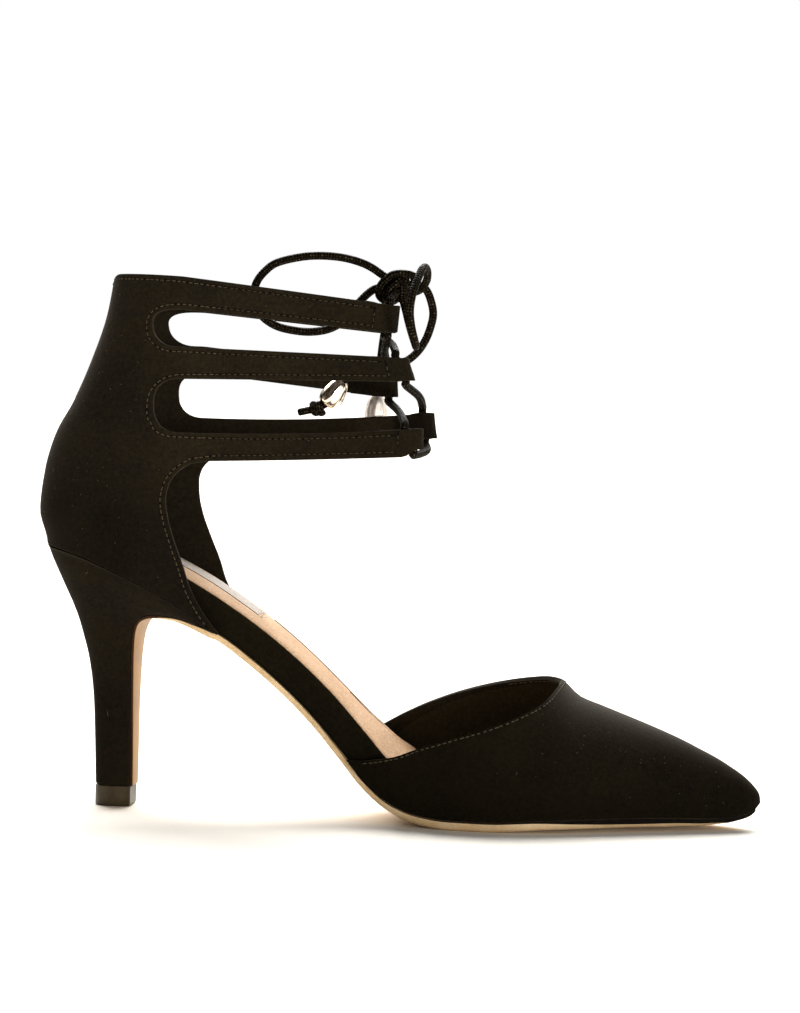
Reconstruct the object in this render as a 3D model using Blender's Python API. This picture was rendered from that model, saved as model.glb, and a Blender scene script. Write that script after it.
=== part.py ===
"""Right-foot pointed pump with a covered high heel and a laced ankle cuff.

The shoe is cut in two pieces, a vamp over the toes and a quarter behind, with the waist of the
footbed bare between them. The quarter rises to an ankle cuff whose slots leave three straps on
each side, and a round cord laces the six strap ends together in front of the ankle.

Frame: +X points to the toe, +Y to the inner (medial) side of the foot, +Z up, floor at z = 0.
All sizes below are millimetres, and the meshes are made in metres.
"""

import math

import bmesh
import bpy
import numpy as np
from mathutils.geometry import delaunay_2d_cdt

MM = 0.001

# Driving sizes
GAP = 0.3
VAMP_WALL = 1.6
QUARTER_WALL = 1.5
SOCK_THICK = 0.7
SOCK_MARGIN = 0.9
BOARD_TOE_GAP = 2.5
BOARD_BACK = 0.8
SOCK_TOE_GAP = 2.0
TOE_TIP = 118.3
TOE_SWING = 3.0
SEAT_END = -60.0
LIP_END = -55.5
LIFT_HEIGHT = 6.6
LIFT_FORWARD = 0.25
CORD_DIAMETER = 2.6
TUNNEL_RADIUS = 1.6
MOUTH_GAP = 0.6
FREE_PITCH = 2.4
SHORT_PITCH = 0.9
FLAP_LENGTH = 12.0
POCKET_LENGTH = 4.0
NECK_LENGTH = 5.0

LATERAL = -1
MEDIAL = 1
SIDES = (LATERAL, MEDIAL)

# Lengthwise line of the joint between sole and upper, and the board's thickness above it
FEATHER_COLUMNS = ("x", "feather", "board")
FEATHER_ROWS = (
    (-116.0, 84.8, 7.6),
    (-102.0, 81.8, 7.9),
    (-86.0, 75.4, 8.4),
    (-70.0, 67.4, 8.7),
    (-55.0, 57.8, 9.0),
    (-40.0, 46.4, 9.2),
    (-26.0, 33.6, 9.3),
    (-15.0, 21.4, 9.5),
    (-7.0, 12.6, 9.6),
    (1.0, 6.8, 8.2),
    (10.0, 3.9, 5.2),
    (20.0, 3.0, 4.0),
    (32.0, 3.0, 3.4),
    (50.0, 3.9, 3.0),
    (80.0, 5.0, 2.8),
    (105.0, 5.7, 2.6),
    (118.5, 6.7, 2.4),
)

# Rise of the footbed's medial edge over the lateral one, because it drops to the ball later
MEDIAL_RISE_COLUMNS = ("x", "rise")
MEDIAL_RISE_ROWS = (
    (-116.0, -0.6),
    (-28.0, -0.6),
    (-18.0, 0.2),
    (-12.0, 1.6),
    (-6.0, 2.8),
    (0.0, 3.8),
    (6.0, 3.7),
    (14.0, 2.2),
    (24.0, 0.0),
)

# Half-widths of the upper's outside at the feather line, from the waist to the toe
OUTLINE_COLUMNS = ("x", "lateral", "medial")
OUTLINE_ROWS = (
    (-60.0, 24.0, 23.2),
    (-45.0, 22.3, 21.4),
    (-30.0, 21.3, 20.0),
    (-15.0, 22.0, 20.0),
    (-5.0, 24.4, 21.4),
    (5.0, 28.4, 24.2),
    (15.0, 32.6, 28.2),
    (25.0, 35.2, 32.2),
    (35.0, 35.9, 35.0),
    (45.0, 34.9, 36.0),
    (55.0, 32.0, 35.0),
    (68.0, 26.4, 30.4),
    (80.0, 20.8, 24.6),
    (92.0, 15.2, 18.2),
    (103.0, 10.1, 12.2),
    (111.0, 6.2, 7.2),
)

# Height of the last's ridge over the feather line, and the ridge's shift to the medial side
RIDGE_COLUMNS = ("x", "rise", "shift")
RIDGE_ROWS = (
    (-22.0, 76.0, 3.0),
    (0.0, 69.0, 4.0),
    (20.0, 59.5, 5.0),
    (40.0, 48.6, 5.0),
    (53.3, 41.4, 4.5),
    (59.0, 36.2, 4.0),
    (66.0, 33.1, 3.5),
    (79.0, 28.0, 2.5),
    (92.0, 22.5, 1.5),
    (105.0, 15.9, 0.6),
    (112.0, 11.1, 0.2),
)

# Height of the vamp's top edge on each side
TOPLINE_COLUMNS = ("x", "lateral", "medial")
TOPLINE_ROWS = (
    (-22.0, 20.4, 18.4),
    (-11.0, 19.7, 24.8),
    (1.0, 21.5, 31.8),
    (10.0, 25.0, 36.0),
    (20.0, 28.4, 39.6),
    (32.0, 32.4, 42.8),
    (42.0, 36.4, 44.8),
    (49.0, 40.4, 45.7),
    (53.3, 45.4, 45.4),
)
THROAT_X = 53.3
VAMP_FULLNESS = {LATERAL: 2.15, MEDIAL: 2.3}
VAMP_BULGE = 1.6

# Level sections of the quarter's outside: back, widest and front x, and half-widths
QUARTER_COLUMNS = ("z", "back", "widest", "front", "lateral", "medial")
QUARTER_ROWS = (
    (56.0, -115.2, -84.0, 46.0, 24.4, 23.6),
    (72.0, -115.2, -84.0, 44.0, 26.0, 25.2),
    (85.0, -115.4, -84.0, 38.0, 26.8, 26.2),
    (96.0, -118.2, -85.0, 30.0, 27.2, 26.6),
    (109.0, -116.9, -83.0, 22.0, 27.0, 26.6),
    (121.0, -113.6, -79.0, 17.0, 26.2, 25.8),
    (131.0, -108.3, -74.0, 14.5, 25.6, 25.3),
    (144.0, -102.9, -68.0, 11.0, 25.0, 24.8),
    (160.0, -97.8, -63.0, 6.5, 24.2, 24.0),
    (173.5, -95.6, -60.0, 5.0, 23.6, 23.5),
)
BACK_POWER = 2 / 2.2
FRONT_POWER = 2 / 2.5

# Straps, top to bottom: tip x, how far the fold leans forward at its low end, the heights of both edges
# at the root and at the tip, how far behind the fold's middle the lace leaves the tunnel at its low and
# high mouths, the low corner's rise, and how far each edge sags between root and tip
STRAP_COLUMNS = (
    "tip", "slant", "low_root", "low_tip", "high_root", "high_tip", "back_low", "back_high", "corner",
    "low_sag", "high_sag",
)
STRAP_ROWS = {
    LATERAL: (
        (-0.1, -0.4, 161.5, 155.9, 172.0, 164.8, 0.0, 0.6, 0.3, 0.0, 0.0),
        (4.7, 1.2, 139.4, 140.7, 149.6, 148.2, 0.0, 1.8, 0.3, 0.0, 0.0),
        (8.8, 0.0, 113.2, 116.9, 122.4, 125.8, 0.0, 3.6, 2.2, 0.3, 1.0),
    ),
    MEDIAL: (
        (-3.9, 0.0, 161.7, 156.2, 172.3, 165.2, 1.0, 0.6, 0.3, 0.0, 0.0),
        (-2.9, 0.0, 141.6, 135.3, 150.6, 144.4, 0.0, 0.6, 0.3, 0.0, 0.0),
        (11.0, 0.6, 116.4, 121.7, 126.9, 130.9, 1.4, 1.6, 0.8, 0.8, 1.2),
    ),
}
STRAP_ROOT = -70.0
CUFF_TOP = 172.7
CUFF_BACK = -95.0
CUFF_DIP = 1.9
CUFF_DIP_LENGTH = 3.6
CORNER_LENGTH = 4.0
SLOT_ENDS = {LATERAL: (-79.5, -78.0), MEDIAL: (-81.5, -78.0)}
SLOT_ROUND = 9.0
SLOT_POWER = 0.8
SLOT_LEAN = (1.0, 0.3)

# Front edge of the counter, from the bottom strap down to the seat
COUNTER_COLUMNS = ("z", "lateral", "medial")
COUNTER_ROWS = (
    (57.4, -54.4, -51.5),
    (66.0, -60.8, -56.0),
    (73.0, -64.6, -60.2),
    (80.0, -67.0, -62.7),
    (88.0, -70.0, -66.2),
    (95.0, -72.1, -68.9),
    (101.0, -73.0, -70.3),
    (106.0, -72.0, -70.6),
    (110.0, -69.2, -69.6),
    (112.6, -65.4, -67.4),
)
COUNTER_TO_STRAP = {LATERAL: -59.0, MEDIAL: -60.0}

# Heel sections, tip to seat: back point, breast point, half-width and crown of the section
HEEL_COLUMNS = ("back_x", "back_z", "front_x", "front_z", "half", "crown")
HEEL_ROWS = (
    (-97.8, 6.9, -86.0, 6.9, 6.1, 0.0),
    (-98.3, 20.0, -86.1, 20.0, 6.8, 0.0),
    (-99.1, 35.0, -86.3, 35.0, 8.0, 0.0),
    (-100.8, 47.5, -86.2, 47.5, 9.8, 0.0),
    (-102.6, 54.5, -85.7, 55.5, 11.8, 0.0),
    (-104.5, 60.8, -84.3, 60.3, 14.0, 0.2),
    (-106.6, 66.0, -81.5, 62.6, 16.2, 0.5),
    (-108.8, 70.6, -77.2, 63.5, 18.4, 1.0),
    (-111.0, 75.2, -71.5, 63.1, 20.6, 1.8),
    (-113.2, 79.8, -63.5, 61.0, 22.8, 2.8),
    (-115.2, 84.6, -55.5, 58.1, 24.4, 3.8),
)

# Sole: thickness in the forefoot, in the waist, down the heel's breast and at the toe, where the
# taper to the toe starts, and how far its edge lies inside the upper's
SOLE_FOREFOOT = 3.0
SOLE_WAIST = 2.0
SOLE_FLAP = 1.0
SOLE_TOE = 2.5
TOE_TAPER_START = 75.0
SOLE_SET_BACK = 0.4
BREAST_SHARE = 0.94
BREAST_COVER = 0.9

# Side profiles of the flat pieces: inset from the edge, share of the thickness
BOARD_SIDE = ((1.8, 0.0), (0.4, 0.28), (0.0, 0.62), (0.5, 1.0))
SOLE_SIDE = ((0.0, 0.0), (0.2, 0.45), (1.0, 0.8), (2.4, 1.0))
SOCK_SIDE = ((0.0, 0.0), (0.1, 0.25), (3.0, 1.0))

# Forward bow of the lace's crossings, and their straight run at each tunnel mouth
CROSS_BOW = {
    ("lower", "near"): 1.0,
    ("lower", "far"): 1.6,
    ("upper", "near"): 0.9,
    ("upper", "far"): -1.0,
}
CROSS_RUN = 1.4

# The bottom bar drops from its tunnels, turns inwards and bows forward in the middle
BAR_DROP = (0.0, 0.0, -1.7)
BAR_TURN = (1.2, 2.6, -0.2)
BAR_BOW = (2.4, 0.0, -1.6)

# Straight run of the two rises at their tunnels, and the depth at which they meet the knot
RISE_RUN = 1.2
KNOT_FOOT = 1.6

# Lace routes, chosen by hand from knot to end
KNOT_CENTRE = (-3.0, -3.2, 171.2)
KNOT_RADII = (6.4, 5.0, 5.6)
LOOP_BACK = (
    (-8.4, -4.4, 174.9), (-14.0, -5.2, 178.1), (-21.9, -7.0, 180.0), (-31.5, -9.2, 180.0),
    (-40.8, -11.4, 177.8), (-45.0, -12.7, 174.8), (-47.8, -13.8, 170.5), (-48.2, -14.2, 165.1),
    (-45.7, -14.2, 160.5), (-41.7, -13.6, 157.6), (-36.9, -12.6, 156.2), (-30.2, -11.0, 155.7),
    (-23.9, -9.5, 157.0), (-19.1, -8.0, 160.4), (-15.3, -6.4, 165.6), (-12.1, -5.2, 169.0),
    (-9.5, -4.4, 170.5),
)
LOOP_FRONT = (
    (-1.0, -6.6, 167.0), (0.2, -8.6, 163.2), (1.7, -11.2, 158.6), (3.3, -14.1, 154.5),
    (4.4, -17.1, 152.3), (4.8, -20.8, 152.0), (4.5, -24.1, 154.2), (3.7, -25.6, 157.8),
    (3.1, -25.8, 162.4), (3.4, -25.0, 166.8), (4.2, -23.4, 170.4), (5.0, -21.1, 173.5),
    (5.7, -18.0, 176.1), (6.4, -14.0, 177.2), (6.8, -10.2, 176.1), (6.6, -7.6, 173.8),
    (5.5, -5.9, 171.7), (4.0, -4.7, 170.2),
)
END_NEAR = (
    (3.2, -1.8, 171.8), (5.7, -1.7, 170.6), (7.4, -1.5, 167.2), (8.3, -1.1, 162.7),
    (7.5, -1.4, 158.1), (5.9, -2.4, 153.7), (3.4, -4.2, 149.8), (-0.2, -6.2, 147.0),
    (-6.0, -7.2, 146.2), (-11.6, -7.7, 145.8), (-16.1, -7.9, 143.7), (-19.1, -8.1, 140.8),
)
END_FAR = (
    (-4.2, 1.5, 172.8), (-5.0, 6.4, 174.0), (-6.2, 12.4, 172.6), (-7.8, 18.0, 169.2),
    (-9.0, 22.0, 164.4), (-9.7, 24.0, 158.6), (-10.6, 24.8, 151.6), (-11.2, 25.0, 144.6),
    (-11.7, 25.0, 136.8),
)
BEAD_AXES = {"near": (-0.56, 0.0, -0.83), "far": (-0.04, 0.0, -1.0)}
STUB_AXES = {"near": (-0.97, 0.0, -0.22), "far": (-0.04, 0.0, -1.0)}
END_KNOT_OFFSETS = {"near": (-2.8, 0.0, -1.2), "far": (-0.1, 0.0, -2.6)}
BEAD_LENGTH = 9.6
BEAD_PROFILE = ((0.0, 1.7), (0.06, 2.2), (0.35, 3.1), (0.7, 3.6), (0.92, 3.2), (1.0, 2.6))
END_KNOT_RADIUS = 2.3
END_STUB = 3.6


# Interpolation

def smooth_curve(xs, ys):
    """A smooth curve through the points that never overshoots them."""
    xs = np.asarray(xs, float)
    ys = np.asarray(ys, float)
    step = np.diff(xs)
    slope = np.diff(ys) / step
    tangent = np.zeros(len(xs))
    tangent[0] = slope[0]
    tangent[-1] = slope[-1]
    for i in range(1, len(xs) - 1):
        if slope[i - 1] * slope[i] > 0:
            before = 2 * step[i] + step[i - 1]
            after = step[i] + 2 * step[i - 1]
            tangent[i] = (before + after) / (before / slope[i - 1] + after / slope[i])

    def value(x):
        x = min(max(x, xs[0]), xs[-1])
        i = min(int(np.searchsorted(xs, x, side="right")) - 1, len(step) - 1)
        i = max(i, 0)
        t = (x - xs[i]) / step[i]
        rise = ys[i] * (1 + 2 * t) * (1 - t) ** 2 + ys[i + 1] * t * t * (3 - 2 * t)
        turn = tangent[i] * t * (1 - t) ** 2 - tangent[i + 1] * t * t * (1 - t)
        return float(rise + turn * step[i])

    return value


def table_curves(columns, rows, key=0):
    """One smooth curve for each column of a table, by the column named first."""
    keys = [row[key] for row in rows]
    return {name: smooth_curve(keys, [row[i] for row in rows]) for i, name in enumerate(columns)}


def rounded_tip_curves(columns, rows, tip):
    """Curves by x that close roundly at the tip, read on the root of the distance to it."""
    reach = [math.sqrt(tip - row[0]) for row in rows][::-1]
    curves = {}
    for i, name in enumerate(columns[1:], start=1):
        values = [row[i] for row in rows][::-1]
        curves[name] = smooth_curve([0.0] + reach, [0.0] + values)

    def at(name):
        return lambda x: curves[name](math.sqrt(max(tip - x, 0.0)))

    return {name: at(name) for name in curves}


def blend(start, end, x):
    """A soft step from 0 at start to 1 at end."""
    t = min(max((x - start) / (end - start), 0.0), 1.0)
    return t * t * (3 - 2 * t)


FEATHER = table_curves(FEATHER_COLUMNS, FEATHER_ROWS)
OUTLINE = rounded_tip_curves(OUTLINE_COLUMNS, OUTLINE_ROWS, TOE_TIP)
MEDIAL_RISE = table_curves(MEDIAL_RISE_COLUMNS, MEDIAL_RISE_ROWS)
RIDGE = rounded_tip_curves(RIDGE_COLUMNS, RIDGE_ROWS, TOE_TIP)
TOPLINE = table_curves(TOPLINE_COLUMNS, TOPLINE_ROWS)
QUARTER = table_curves(QUARTER_COLUMNS, QUARTER_ROWS)
COUNTER = table_curves(COUNTER_COLUMNS, COUNTER_ROWS)
SIDE_NAME = {LATERAL: "lateral", MEDIAL: "medial"}


# Last and footbed

def feather(x):
    return FEATHER["feather"](x)


def feather_slope(x):
    return (feather(x + 0.5) - feather(x - 0.5))


def swing(x):
    """Sideways shift of the footbed's centre line, from the ball to the toe."""
    return TOE_SWING * blend(20.0, TOE_TIP, x)


def outer_half(side, x):
    """Half-width of the upper's outside at the feather line."""
    seat = quarter_half(side, x, feather(x))
    waist = OUTLINE[SIDE_NAME[side]](x)
    share = blend(SEAT_END - 8.0, SEAT_END + 8.0, x)
    return seat * (1 - share) + waist * share


def bed_half(side, x, inset=VAMP_WALL + GAP):
    """Half-width of the footbed, set in from the upper's outside."""
    slope = outer_half(side, x + 0.4) - outer_half(side, x - 0.4)
    lean = min(abs(slope) / 0.8, 2.0)
    return outer_half(side, x) - inset * math.sqrt(1 + lean * lean)


# Mesh making

def make_material(name, colour, roughness, metallic=0.0):
    material = bpy.data.materials.new(name)
    material.use_nodes = True
    shader = material.node_tree.nodes["Principled BSDF"]
    shader.inputs["Base Color"].default_value = (*colour, 1.0)
    shader.inputs["Roughness"].default_value = roughness
    shader.inputs["Metallic"].default_value = metallic
    material.diffuse_color = (*colour, 1.0)
    return material


def add_mesh(name, points, faces, material):
    """A closed mesh object from points in millimetres, its faces turned outwards."""
    mesh = bpy.data.meshes.new(name)
    mesh.from_pydata([(x * MM, y * MM, z * MM) for x, y, z in points], [], faces)
    body = bmesh.new()
    body.from_mesh(mesh)
    bmesh.ops.recalc_face_normals(body, faces=body.faces)
    bmesh.ops.triangulate(body, faces=body.faces)
    body.to_mesh(mesh)
    body.free()
    mesh.shade_smooth()
    mesh.set_sharp_from_angle(angle=math.radians(40))
    mesh.materials.append(material)
    piece = bpy.data.objects.new(name, mesh)
    bpy.context.collection.objects.link(piece)
    return piece


def add_loft(name, rings, material):
    """A solid skinned through closed rings that all have the same number of points."""
    count = len(rings[0])
    points = [point for ring in rings for point in ring]
    faces = []
    for i in range(len(rings) - 1):
        for j in range(count):
            k = (j + 1) % count
            faces.append((i * count + j, i * count + k, (i + 1) * count + k, (i + 1) * count + j))
    faces.append(tuple(range(count)))
    last = (len(rings) - 1) * count
    faces.append(tuple(range(last, last + count)))
    return add_mesh(name, points, faces, material)


def catmull_rom(route, spacing):
    """Points about a spacing apart on a smooth curve through the route's points."""
    stops = [np.array(p, float) for p in route]
    stops = [2 * stops[0] - stops[1]] + stops + [2 * stops[-1] - stops[-2]]
    fine = []
    for i in range(1, len(stops) - 2):
        a, b, c, d = stops[i - 1:i + 3]
        for t in np.linspace(0, 1, 24, endpoint=False):
            fine.append(0.5 * (2 * b + (c - a) * t + (2 * a - 5 * b + 4 * c - d) * t * t
                               + (3 * b - a - 3 * c + d) * t ** 3))
    fine.append(stops[-2])
    lengths = np.concatenate([[0], np.cumsum([np.linalg.norm(q - p) for p, q in zip(fine, fine[1:])])])
    count = max(int(round(lengths[-1] / spacing)), 2)
    wanted = np.linspace(0, lengths[-1], count + 1)
    fine = np.array(fine)
    return [tuple(np.interp(s, lengths, fine[:, axis]) for axis in range(3)) for s in wanted]


def add_cord(name, route, material, pitch=FREE_PITCH):
    """A round cord along a route in millimetres, a point every pitch diameters, with closed ends."""
    curve = bpy.data.curves.new(name, "CURVE")
    curve.dimensions = "3D"
    curve.bevel_depth = CORD_DIAMETER / 2 * MM
    curve.bevel_resolution = 2
    curve.use_fill_caps = True
    places = catmull_rom(route, pitch * CORD_DIAMETER)
    spline = curve.splines.new("POLY")
    spline.points.add(len(places) - 1)
    for point, (x, y, z) in zip(spline.points, places):
        point.co = (x * MM, y * MM, z * MM, 1.0)
    curve.materials.append(material)
    cord = bpy.data.objects.new(name, curve)
    bpy.context.collection.objects.link(cord)
    return cord


# Flat pieces that follow the feather line

def bed_ring(x, halves, lows, thicks, side_profile):
    """A ring across the footbed: a slab from heights above the feather line, square to it."""
    slope = feather_slope(x)
    length = math.sqrt(1 + slope * slope)
    across = []
    for side in SIDES:
        edge = []
        for inset, share in side_profile:
            rise = lows[side] + thicks[side] * share
            half = max(halves[side] - inset, 0.25)
            edge.append((x - slope / length * rise, swing(x) + side * half, feather(x) + rise / length))
        across.append(edge)
    return across[0] + across[1][::-1]


def bed_end(side, guess=TOE_TIP):
    """The x where the footbed's width runs out at the toe."""
    x = guess
    while bed_half(side, x) < 0.6:
        x -= 0.1
    return x


def bed_stations(count=56):
    """Stations along x that the board and the sock share, closer together at both ends."""
    back = QUARTER["back"](feather(-114.0)) + QUARTER_WALL + GAP + SOCK_MARGIN
    front = min(bed_end(side) for side in SIDES) - BOARD_TOE_GAP - SOCK_TOE_GAP
    shares = np.linspace(0, 1, count)
    shares = (shares + (1 - np.cos(math.pi * shares)) / 2) / 2
    return [back + (front - back) * share for share in shares]


def board_thick(x):
    """The board's thickness at each edge."""
    thick = FEATHER["board"](x)
    return {LATERAL: thick, MEDIAL: thick + MEDIAL_RISE["rise"](x)}


def build_board(material):
    """The covered insole board, whose sides show at the waist."""
    shared = bed_stations()
    rings = []
    for x in [shared[0] - BOARD_BACK] + shared + [shared[-1] + SOCK_TOE_GAP]:
        halves = {side: bed_half(side, x) for side in SIDES}
        lows = {side: GAP for side in SIDES}
        rings.append(bed_ring(x, halves, lows, board_thick(x), BOARD_SIDE))
    return add_loft("insole_board", rings, material)


def build_sock(material):
    """The sock lining on the board, a little inside its edge."""
    rings = []
    for x in bed_stations():
        halves = {side: bed_half(side, x) - SOCK_MARGIN for side in SIDES}
        lows = {side: 2 * GAP + thick for side, thick in board_thick(x).items()}
        thicks = {side: SOCK_THICK for side in SIDES}
        rings.append(bed_ring(x, halves, lows, thicks, SOCK_SIDE))
    return add_loft("sock_lining", rings, material)


# Heel, lift and sole

HEEL = {name: smooth_curve(range(len(HEEL_ROWS)), [row[i] for row in HEEL_ROWS])
        for i, name in enumerate(HEEL_COLUMNS)}
HEEL_TOP = len(HEEL_ROWS) - 1
HEEL_WIDEST = 0.52
HEEL_FULLNESS = 2.2


def d_share(t):
    """Width of a D-shaped section at a share t of its depth, back to front."""
    if t < HEEL_WIDEST:
        return (1 - (1 - t / HEEL_WIDEST) ** HEEL_FULLNESS) ** (1 / HEEL_FULLNESS)
    return 1 - (1 - BREAST_SHARE) * blend(HEEL_WIDEST, 1.0, t)


def heel_ring(row, depth_points=9):
    """A D-shaped ring of the heel: round the back, straight across the breast."""
    back = np.array([HEEL["back_x"](row), HEEL["back_z"](row)])
    front = np.array([HEEL["front_x"](row), HEEL["front_z"](row)])
    shares = [(1 - math.cos(math.pi / 2 * i / depth_points)) for i in range(1, depth_points + 1)]
    ring = []
    for side, order in ((LATERAL, shares[::-1]), (MEDIAL, [0.0] + shares)):
        for t in order:
            x, z = back + (front - back) * t
            z += HEEL["crown"](row) * 4 * t * (1 - t)
            half = HEEL["half"](row) * d_share(t)
            if row == HEEL_TOP:
                z = feather(x)
                half = (outer_half(side, x) - 0.2) if t > 0 else 0.0
            ring.append((x, side * half, z))
    return ring


def build_heel(material):
    rows = list(np.linspace(0, 4, 7)) + list(np.linspace(4.5, HEEL_TOP, 12))
    return add_loft("heel", [heel_ring(row) for row in rows], material)


def build_lift(material):
    """The plastic top piece under the heel's tip."""
    base = heel_ring(0)
    centre = (HEEL_ROWS[0][0] + HEEL_ROWS[0][2]) / 2
    levels = ((0.0, 1.0), (0.5, 1.05), (LIFT_HEIGHT, 1.05))
    rings = []
    for z, grow in levels:
        rings.append([(centre + LIFT_FORWARD + (x - centre) * grow, y * grow, z) for x, y, _ in base])
    return add_loft("heel_top_lift", rings, material)


def sole_path():
    """The sole's upper line from toe tip to heel lip and down the breast, with its half-widths."""
    path = []
    toe = TOE_TIP - 0.9
    for x in [toe - (toe - LIP_END) * (1 - math.cos(a)) for a in np.linspace(0, math.pi / 2, 40)]:
        upper = blend(-22.0, -2.0, x)
        halves = {}
        for side in SIDES:
            under_upper = max(outer_half(side, x + 0.9) - SOLE_SET_BACK, 0.4)
            halves[side] = under_upper * upper + (bed_half(side, x) - 0.6) * (1 - upper)
        thick = SOLE_WAIST + (SOLE_FOREFOOT - SOLE_WAIST) * blend(-4.0, 14.0, x)
        thick += (SOLE_TOE - SOLE_FOREFOOT) * blend(TOE_TAPER_START, TOE_TIP, x)
        path.append((x, feather(x), swing(x), halves, thick))
    for row in list(np.linspace(HEEL_TOP - 0.25, 4, 20)) + list(np.linspace(3, 0, 4)):
        half = HEEL["half"](row) * BREAST_SHARE - BREAST_COVER
        thick = SOLE_FLAP + (SOLE_WAIST - SOLE_FLAP) * blend(HEEL_TOP - 2, HEEL_TOP, row)
        halves = {side: half for side in SIDES}
        path.append((HEEL["front_x"](row), HEEL["front_z"](row), 0.0, halves, thick))
    return path


def build_sole(material):
    """The outsole, in one piece with the flap that runs down the heel's breast."""
    path = sole_path()
    line = np.array([(x, z) for x, z, *_ in path])
    along = np.gradient(line, axis=0)
    along /= np.linalg.norm(along, axis=1)[:, None]
    rings = []
    for (x, z, shift, halves, thick), (tx, tz) in zip(path, along):
        out = (-tz, tx)
        clear = GAP * blend(LIP_END + 4.0, LIP_END - 4.0, x) if x < LIP_END + 4.0 else 0.0
        across = []
        for side in SIDES:
            edge = []
            for inset, share in SOLE_SIDE:
                depth = clear + thick * share
                half = max(halves[side] - inset * thick / SOLE_FOREFOOT, 0.2)
                edge.append((x + out[0] * depth, shift + side * half, z + out[1] * depth))
            across.append(edge)
        rings.append(across[0] + across[1][::-1])
    return add_loft("outsole", rings, material)


# Vamp

def vamp_point(x, across):
    """The vamp's outside at x: across runs from -1 (lateral feather) over 0 (ridge) to 1."""
    side = LATERAL if across < 0 else MEDIAL
    angle = (1 - abs(across)) * math.pi / 2
    power = 2 / VAMP_FULLNESS[side]
    ridge = swing(x) + RIDGE["shift"](x)
    edge = swing(x) + side * OUTLINE[SIDE_NAME[side]](x)
    rise = RIDGE["rise"](x)
    swell = VAMP_BULGE * math.sin(2 * angle) * math.cos(angle) * min(rise / 12.0, 1.0)
    y = ridge + (edge - ridge) * math.cos(angle) ** power + side * swell
    z = feather(x) + GAP + rise * math.sin(angle) ** power
    return np.array((x, y, z))


def vamp_start(across):
    """The x where the vamp's top edge crosses this line of the last."""
    name = SIDE_NAME[LATERAL if across < 0 else MEDIAL]
    low, high = TOPLINE_ROWS[0][0], THROAT_X
    for _ in range(40):
        middle = (low + high) / 2
        if vamp_point(middle, across)[2] > TOPLINE[name](middle):
            low = middle
        else:
            high = middle
    return (low + high) / 2


def vamp_normal(x, across):
    """Outward normal of the vamp's outside."""
    step = 0.01
    x = min(x, TOE_TIP - 0.05)
    a = max(across - step, -1.0)
    b = min(across + step, 1.0)
    over = vamp_point(x, b) - vamp_point(x, a)
    ahead = vamp_point(x + 0.02, across) - vamp_point(x - 0.02, across)
    normal = np.cross(ahead, over)
    normal /= np.linalg.norm(normal)
    centre = np.array((x, swing(x), feather(x)))
    return normal if normal @ (vamp_point(x, across) - centre) > 0 else -normal


def build_vamp(material, along=22, across=15):
    """A hollow shell over the toes, open at the throat and underneath."""
    lines = [math.copysign(abs(v) ** 0.9, v) for v in np.linspace(-1, 1, 2 * across - 1)]
    outside, inside = [], []
    for v in lines:
        start = vamp_start(v)
        for s in np.linspace(0, 1, along)[:-1]:
            x = start + (TOE_TIP - start) * (1 - (1 - s) ** 2)
            out = vamp_point(x, v)
            into = out - VAMP_WALL * vamp_normal(x, v)
            if abs(v) == 1:
                into[2] = out[2]
            outside.append(out)
            inside.append(into)
    tip = vamp_point(TOE_TIP, 0.0)
    points = outside + inside + [tip, tip - np.array((1.5 * VAMP_WALL, 0, 0))]
    rows = len(lines)
    last = along - 1
    layer = rows * last
    tips = (2 * layer, 2 * layer + 1)
    faces = []
    for sheet in range(2):
        base = sheet * layer
        for i in range(rows - 1):
            for j in range(last - 1):
                a = base + i * last + j
                faces.append((a, a + 1, a + last + 1, a + last))
            a = base + i * last + last - 1
            faces.append((a, tips[sheet], a + last))
    for i in range(rows - 1):
        a = i * last
        faces.append((a, a + last, a + last + layer, a + layer))
    for i in (0, rows - 1):
        for j in range(last - 1):
            a = i * last + j
            faces.append((a, a + 1, a + 1 + layer, a + layer))
        a = i * last + last - 1
        faces.append((a, tips[0], tips[1], a + layer))
    return add_mesh("vamp", [tuple(p) for p in points], faces, material)


# Quarter

BACK_SPAN = 42.0
FRONT_SPAN = 78.0
FOLD_RADIUS = TUNNEL_RADIUS + QUARTER_WALL


def quarter_half(side, x, z):
    """Half-width of the quarter's outside at a place in side view."""
    widest = QUARTER["widest"](z)
    half = QUARTER[SIDE_NAME[side]](z)
    if x < widest:
        share = min((widest - x) / (widest - QUARTER["back"](z)), 1.0)
        return half * (1 - share ** (2 / BACK_POWER)) ** (BACK_POWER / 2)
    share = min((x - widest) / (QUARTER["front"](z) - widest), 1.0)
    return half * (1 - share ** (2 / FRONT_POWER)) ** (FRONT_POWER / 2)


def quarter_point(girth, z):
    """The quarter's outside: girth runs from 0 at the back, below 0 round the lateral side."""
    side = LATERAL if girth < 0 else MEDIAL
    turn = abs(girth)
    widest = QUARTER["widest"](z)
    half = QUARTER[SIDE_NAME[side]](z)
    if turn < BACK_SPAN:
        angle = turn / BACK_SPAN * math.pi / 2
        x = widest - (widest - QUARTER["back"](z)) * math.cos(angle) ** BACK_POWER
        y = half * math.sin(angle) ** BACK_POWER
    else:
        angle = min((turn - BACK_SPAN) / FRONT_SPAN, 1.0) * math.pi / 2
        x = widest + (QUARTER["front"](z) - widest) * math.sin(angle) ** FRONT_POWER
        y = half * max(math.cos(angle), 0.0) ** FRONT_POWER
    return np.array((x, side * y, z))


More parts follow.
